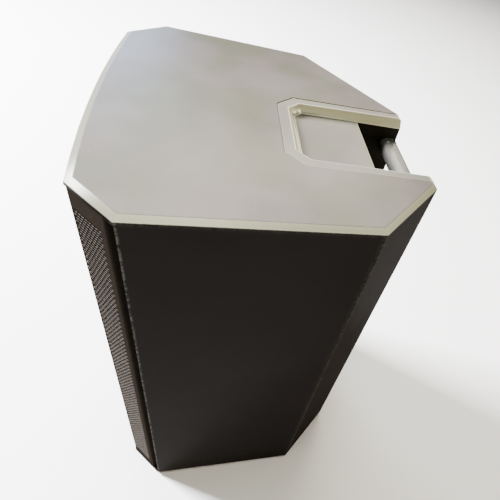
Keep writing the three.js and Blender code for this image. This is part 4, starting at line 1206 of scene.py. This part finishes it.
# ---------------------------------------------------------------- display and status light
# A small screen behind smoked acrylic in a raised moulded bezel, showing three plain level
# bars, and a green indicator with a domed lens.

BEZEL_WIDE = 0.0024
BEZEL_PROUD = 0.0012
BAR_LEFT = 0.006
BAR_TALL = 0.0022
DOME = 0.0016
window_low, window_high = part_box("display_window")
smoked = Finish("smoked", {"Specular IOR Level": 0.6})
smear = smoked.noise(90.0, 4.0)
smoked.finish(
    smoked.blend(smear, (0.004, 0.006, 0.010), (0.008, 0.011, 0.016)), smear * 0.06 + 0.05,
    smear, 0.00001, 0.3,
)
eased("display_window", "display_acrylic", "cabinet", smoked, "window", 0.0003, 2, 30, 0.002)
bezel = bmesh.new()
window_middle = (window_low + window_high) / 2
bmesh.ops.create_grid(
    bezel, x_segments=1, y_segments=1, size=0.5,
    matrix=Matrix.Translation((window_middle.x, window_high.y + 0.0001, window_middle.z))
    @ FACE_OUT
    @ Matrix.Diagonal((
        window_high.x - window_low.x + 2 * BEZEL_WIDE,
        window_high.z - window_low.z + 2 * BEZEL_WIDE, 1, 1,
    )),
)
inner_faces = bezel.faces[:]
bmesh.ops.inset_individual(bezel, faces=inner_faces, thickness=2 * BEZEL_WIDE)
bmesh.ops.delete(bezel, geom=inner_faces, context="FACES")
bmesh.ops.solidify(bezel, geom=bezel.faces[:], thickness=-BEZEL_PROUD)
bmesh.ops.recalc_face_normals(bezel, faces=bezel.faces)
soften(bezel, 0.0004, 2, 40, 0.0)
show(bezel, "display_bezel", "cabinet", nylon)
glow = Finish("glow", {"Emission Strength": 0.7})
lit = (glow.axis("X") * 5200.0).wave().ease(-0.2, 0.1)
shining = glow.blend(lit, (0.01, 0.02, 0.03), (0.25, 0.75, 0.85))
glow.feed(glow.surface.inputs["Emission Color"], shining)
glow.finish(
    glow.blend(lit, (0.01, 0.01, 0.01), (0.10, 0.22, 0.25)), glow.noise(500.0) * 0.1 + 0.2,
)
bars = bmesh.new()
for level, long in ((0.009, 0.030), (0.014, 0.024), (0.021, 0.036)):
    start = Vector((window_low.x + BAR_LEFT, window_high.y, window_low.z + level))
    brick(bars, start, start + Vector((long, PRINT_THICK, BAR_TALL)))
show(bars, "display_bars", "cabinet", glow)
lens_low, lens_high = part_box("status_lens")
lens_middle = (lens_low + lens_high) / 2
lens_out = (lens_high.x - lens_low.x) / 2
lens_tall = lens_high.y - lens_low.y
profile = [(0, 0), (lens_out, 0), (lens_out, lens_tall - DOME)]
for part in range(1, 6):
    angle = part * math.pi / 12
    profile.append((lens_out * math.cos(angle), lens_tall - DOME + DOME * math.sin(angle)))
profile.append((0, lens_tall))
dome = bmesh.new()
turned(dome, profile, (lens_middle.x, lens_low.y, lens_middle.z), 32, FACE_OUT)
signal_green = Finish("signal_green", {"Emission Strength": 0.35, "Specular IOR Level": 0.6})
facets = signal_green.cells(1400.0)
shining = signal_green.blend(facets, (0.10, 0.80, 0.20), (0.02, 0.30, 0.06))
signal_green.feed(signal_green.surface.inputs["Emission Color"], shining)
signal_green.finish(
    signal_green.blend(facets, (0.05, 0.50, 0.12), (0.02, 0.25, 0.05)), facets * 0.1 + 0.10,
)
show(dome, "indicator_lens", "cabinet", signal_green, ["status_lens"])


# ---------------------------------------------------------------- pole socket
# A glass-filled nylon cup let into the base for a stand's pole, with a flared mouth and a
# wide flange.

POLE_BORE = 0.018
POLE_WALL = 0.004
FLANGE_THICK = 0.004
pole_low, pole_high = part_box("pole_socket")
pole_middle = (pole_low + pole_high) / 2
flange_out = (pole_high.x - pole_low.x) / 2
tube_out = POLE_BORE + POLE_WALL
pole_tall = pole_high.z - pole_low.z
bore_end = pole_tall - POLE_WALL
cup = bmesh.new()
turned(cup, [
    (POLE_BORE, 0.0022), (POLE_BORE + 0.0006, 0.0008), (POLE_BORE + 0.0018, 0),
    (flange_out - 0.001, 0), (flange_out, 0.001), (flange_out, FLANGE_THICK),
    (tube_out + 0.001, FLANGE_THICK), (tube_out, FLANGE_THICK + 0.001),
    (tube_out, pole_tall - 0.001), (tube_out - 0.001, pole_tall), (0, pole_tall), (0, bore_end),
    (POLE_BORE - 0.001, bore_end), (POLE_BORE, bore_end - 0.001), (POLE_BORE, 0.0022),
], (pole_middle.x, pole_middle.y, pole_low.z), 64)
show(cup, "pole_cup", "cabinet", nylon, ["pole_socket"])


# ---------------------------------------------------------------- feet and monitor pads
# Push-in rubber feet with a ringed tread under the base, and two rubber strips on the sloped
# back, on which the box lies when it is used as a stage monitor.

STEM = 0.0035
for number in range(1, 5):
    foot_low, foot_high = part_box(f"foot_{number}")
    foot_middle = middle_of(f"foot_{number}")
    out = (foot_high.x - foot_low.x) / 2
    button_foot = bmesh.new()
    turned(button_foot, [
        (0, 0.0006), (0.0040, 0.0006), (0.0044, 0), (0.0066, 0), (0.0070, 0.0006),
        (0.0084, 0.0006), (0.0088, 0), (out - 0.0016, 0), (out - 0.0005, 0.0005), (out, 0.0016),
        (out - 0.0004, 0.0034), (out - 0.0008, 0.0037), (STEM, 0.0037),
        (STEM, foot_high.z - 0.001), (STEM - 0.001, foot_high.z), (0, foot_high.z),
    ], (foot_middle.x, foot_middle.y, 0), 48)
    show(button_foot, f"rubber_foot_{number}", "cabinet", rubber, [f"foot_{number}"])
for number in (1, 2):
    strip = bench(f"wedge_pad_{number}")
    face = max(strip.faces, key=lambda item: item.calc_area() * (item.normal.y > 0))
    bmesh.ops.inset_individual(strip, faces=[face], thickness=0.0025, depth=-0.0009)
    soften(strip, 0.0007, 2, 30, 0.004)
    show(strip, f"monitor_strip_{number}", "cabinet", rubber, [f"wedge_pad_{number}"])


# ---------------------------------------------------------------- inner leads
# Twin leads from the amplifier board to each driver, their black and red cores twisted
# together so that they show as bands.

lead_cover = Finish("lead_cover")
lead_twist = (lead_cover.axis("Y") * 900.0).wave()
lead_cover.finish(
    lead_cover.blend(lead_twist.ease(-0.1, 0.1), (0.018, 0.018, 0.018), (0.30, 0.02, 0.015)),
    lead_cover.noise(300.0) * 0.1 + 0.45, lead_twist, 0.0002, 0.6,
)
dress(lead_cover, "woofer_lead", "tweeter_lead")
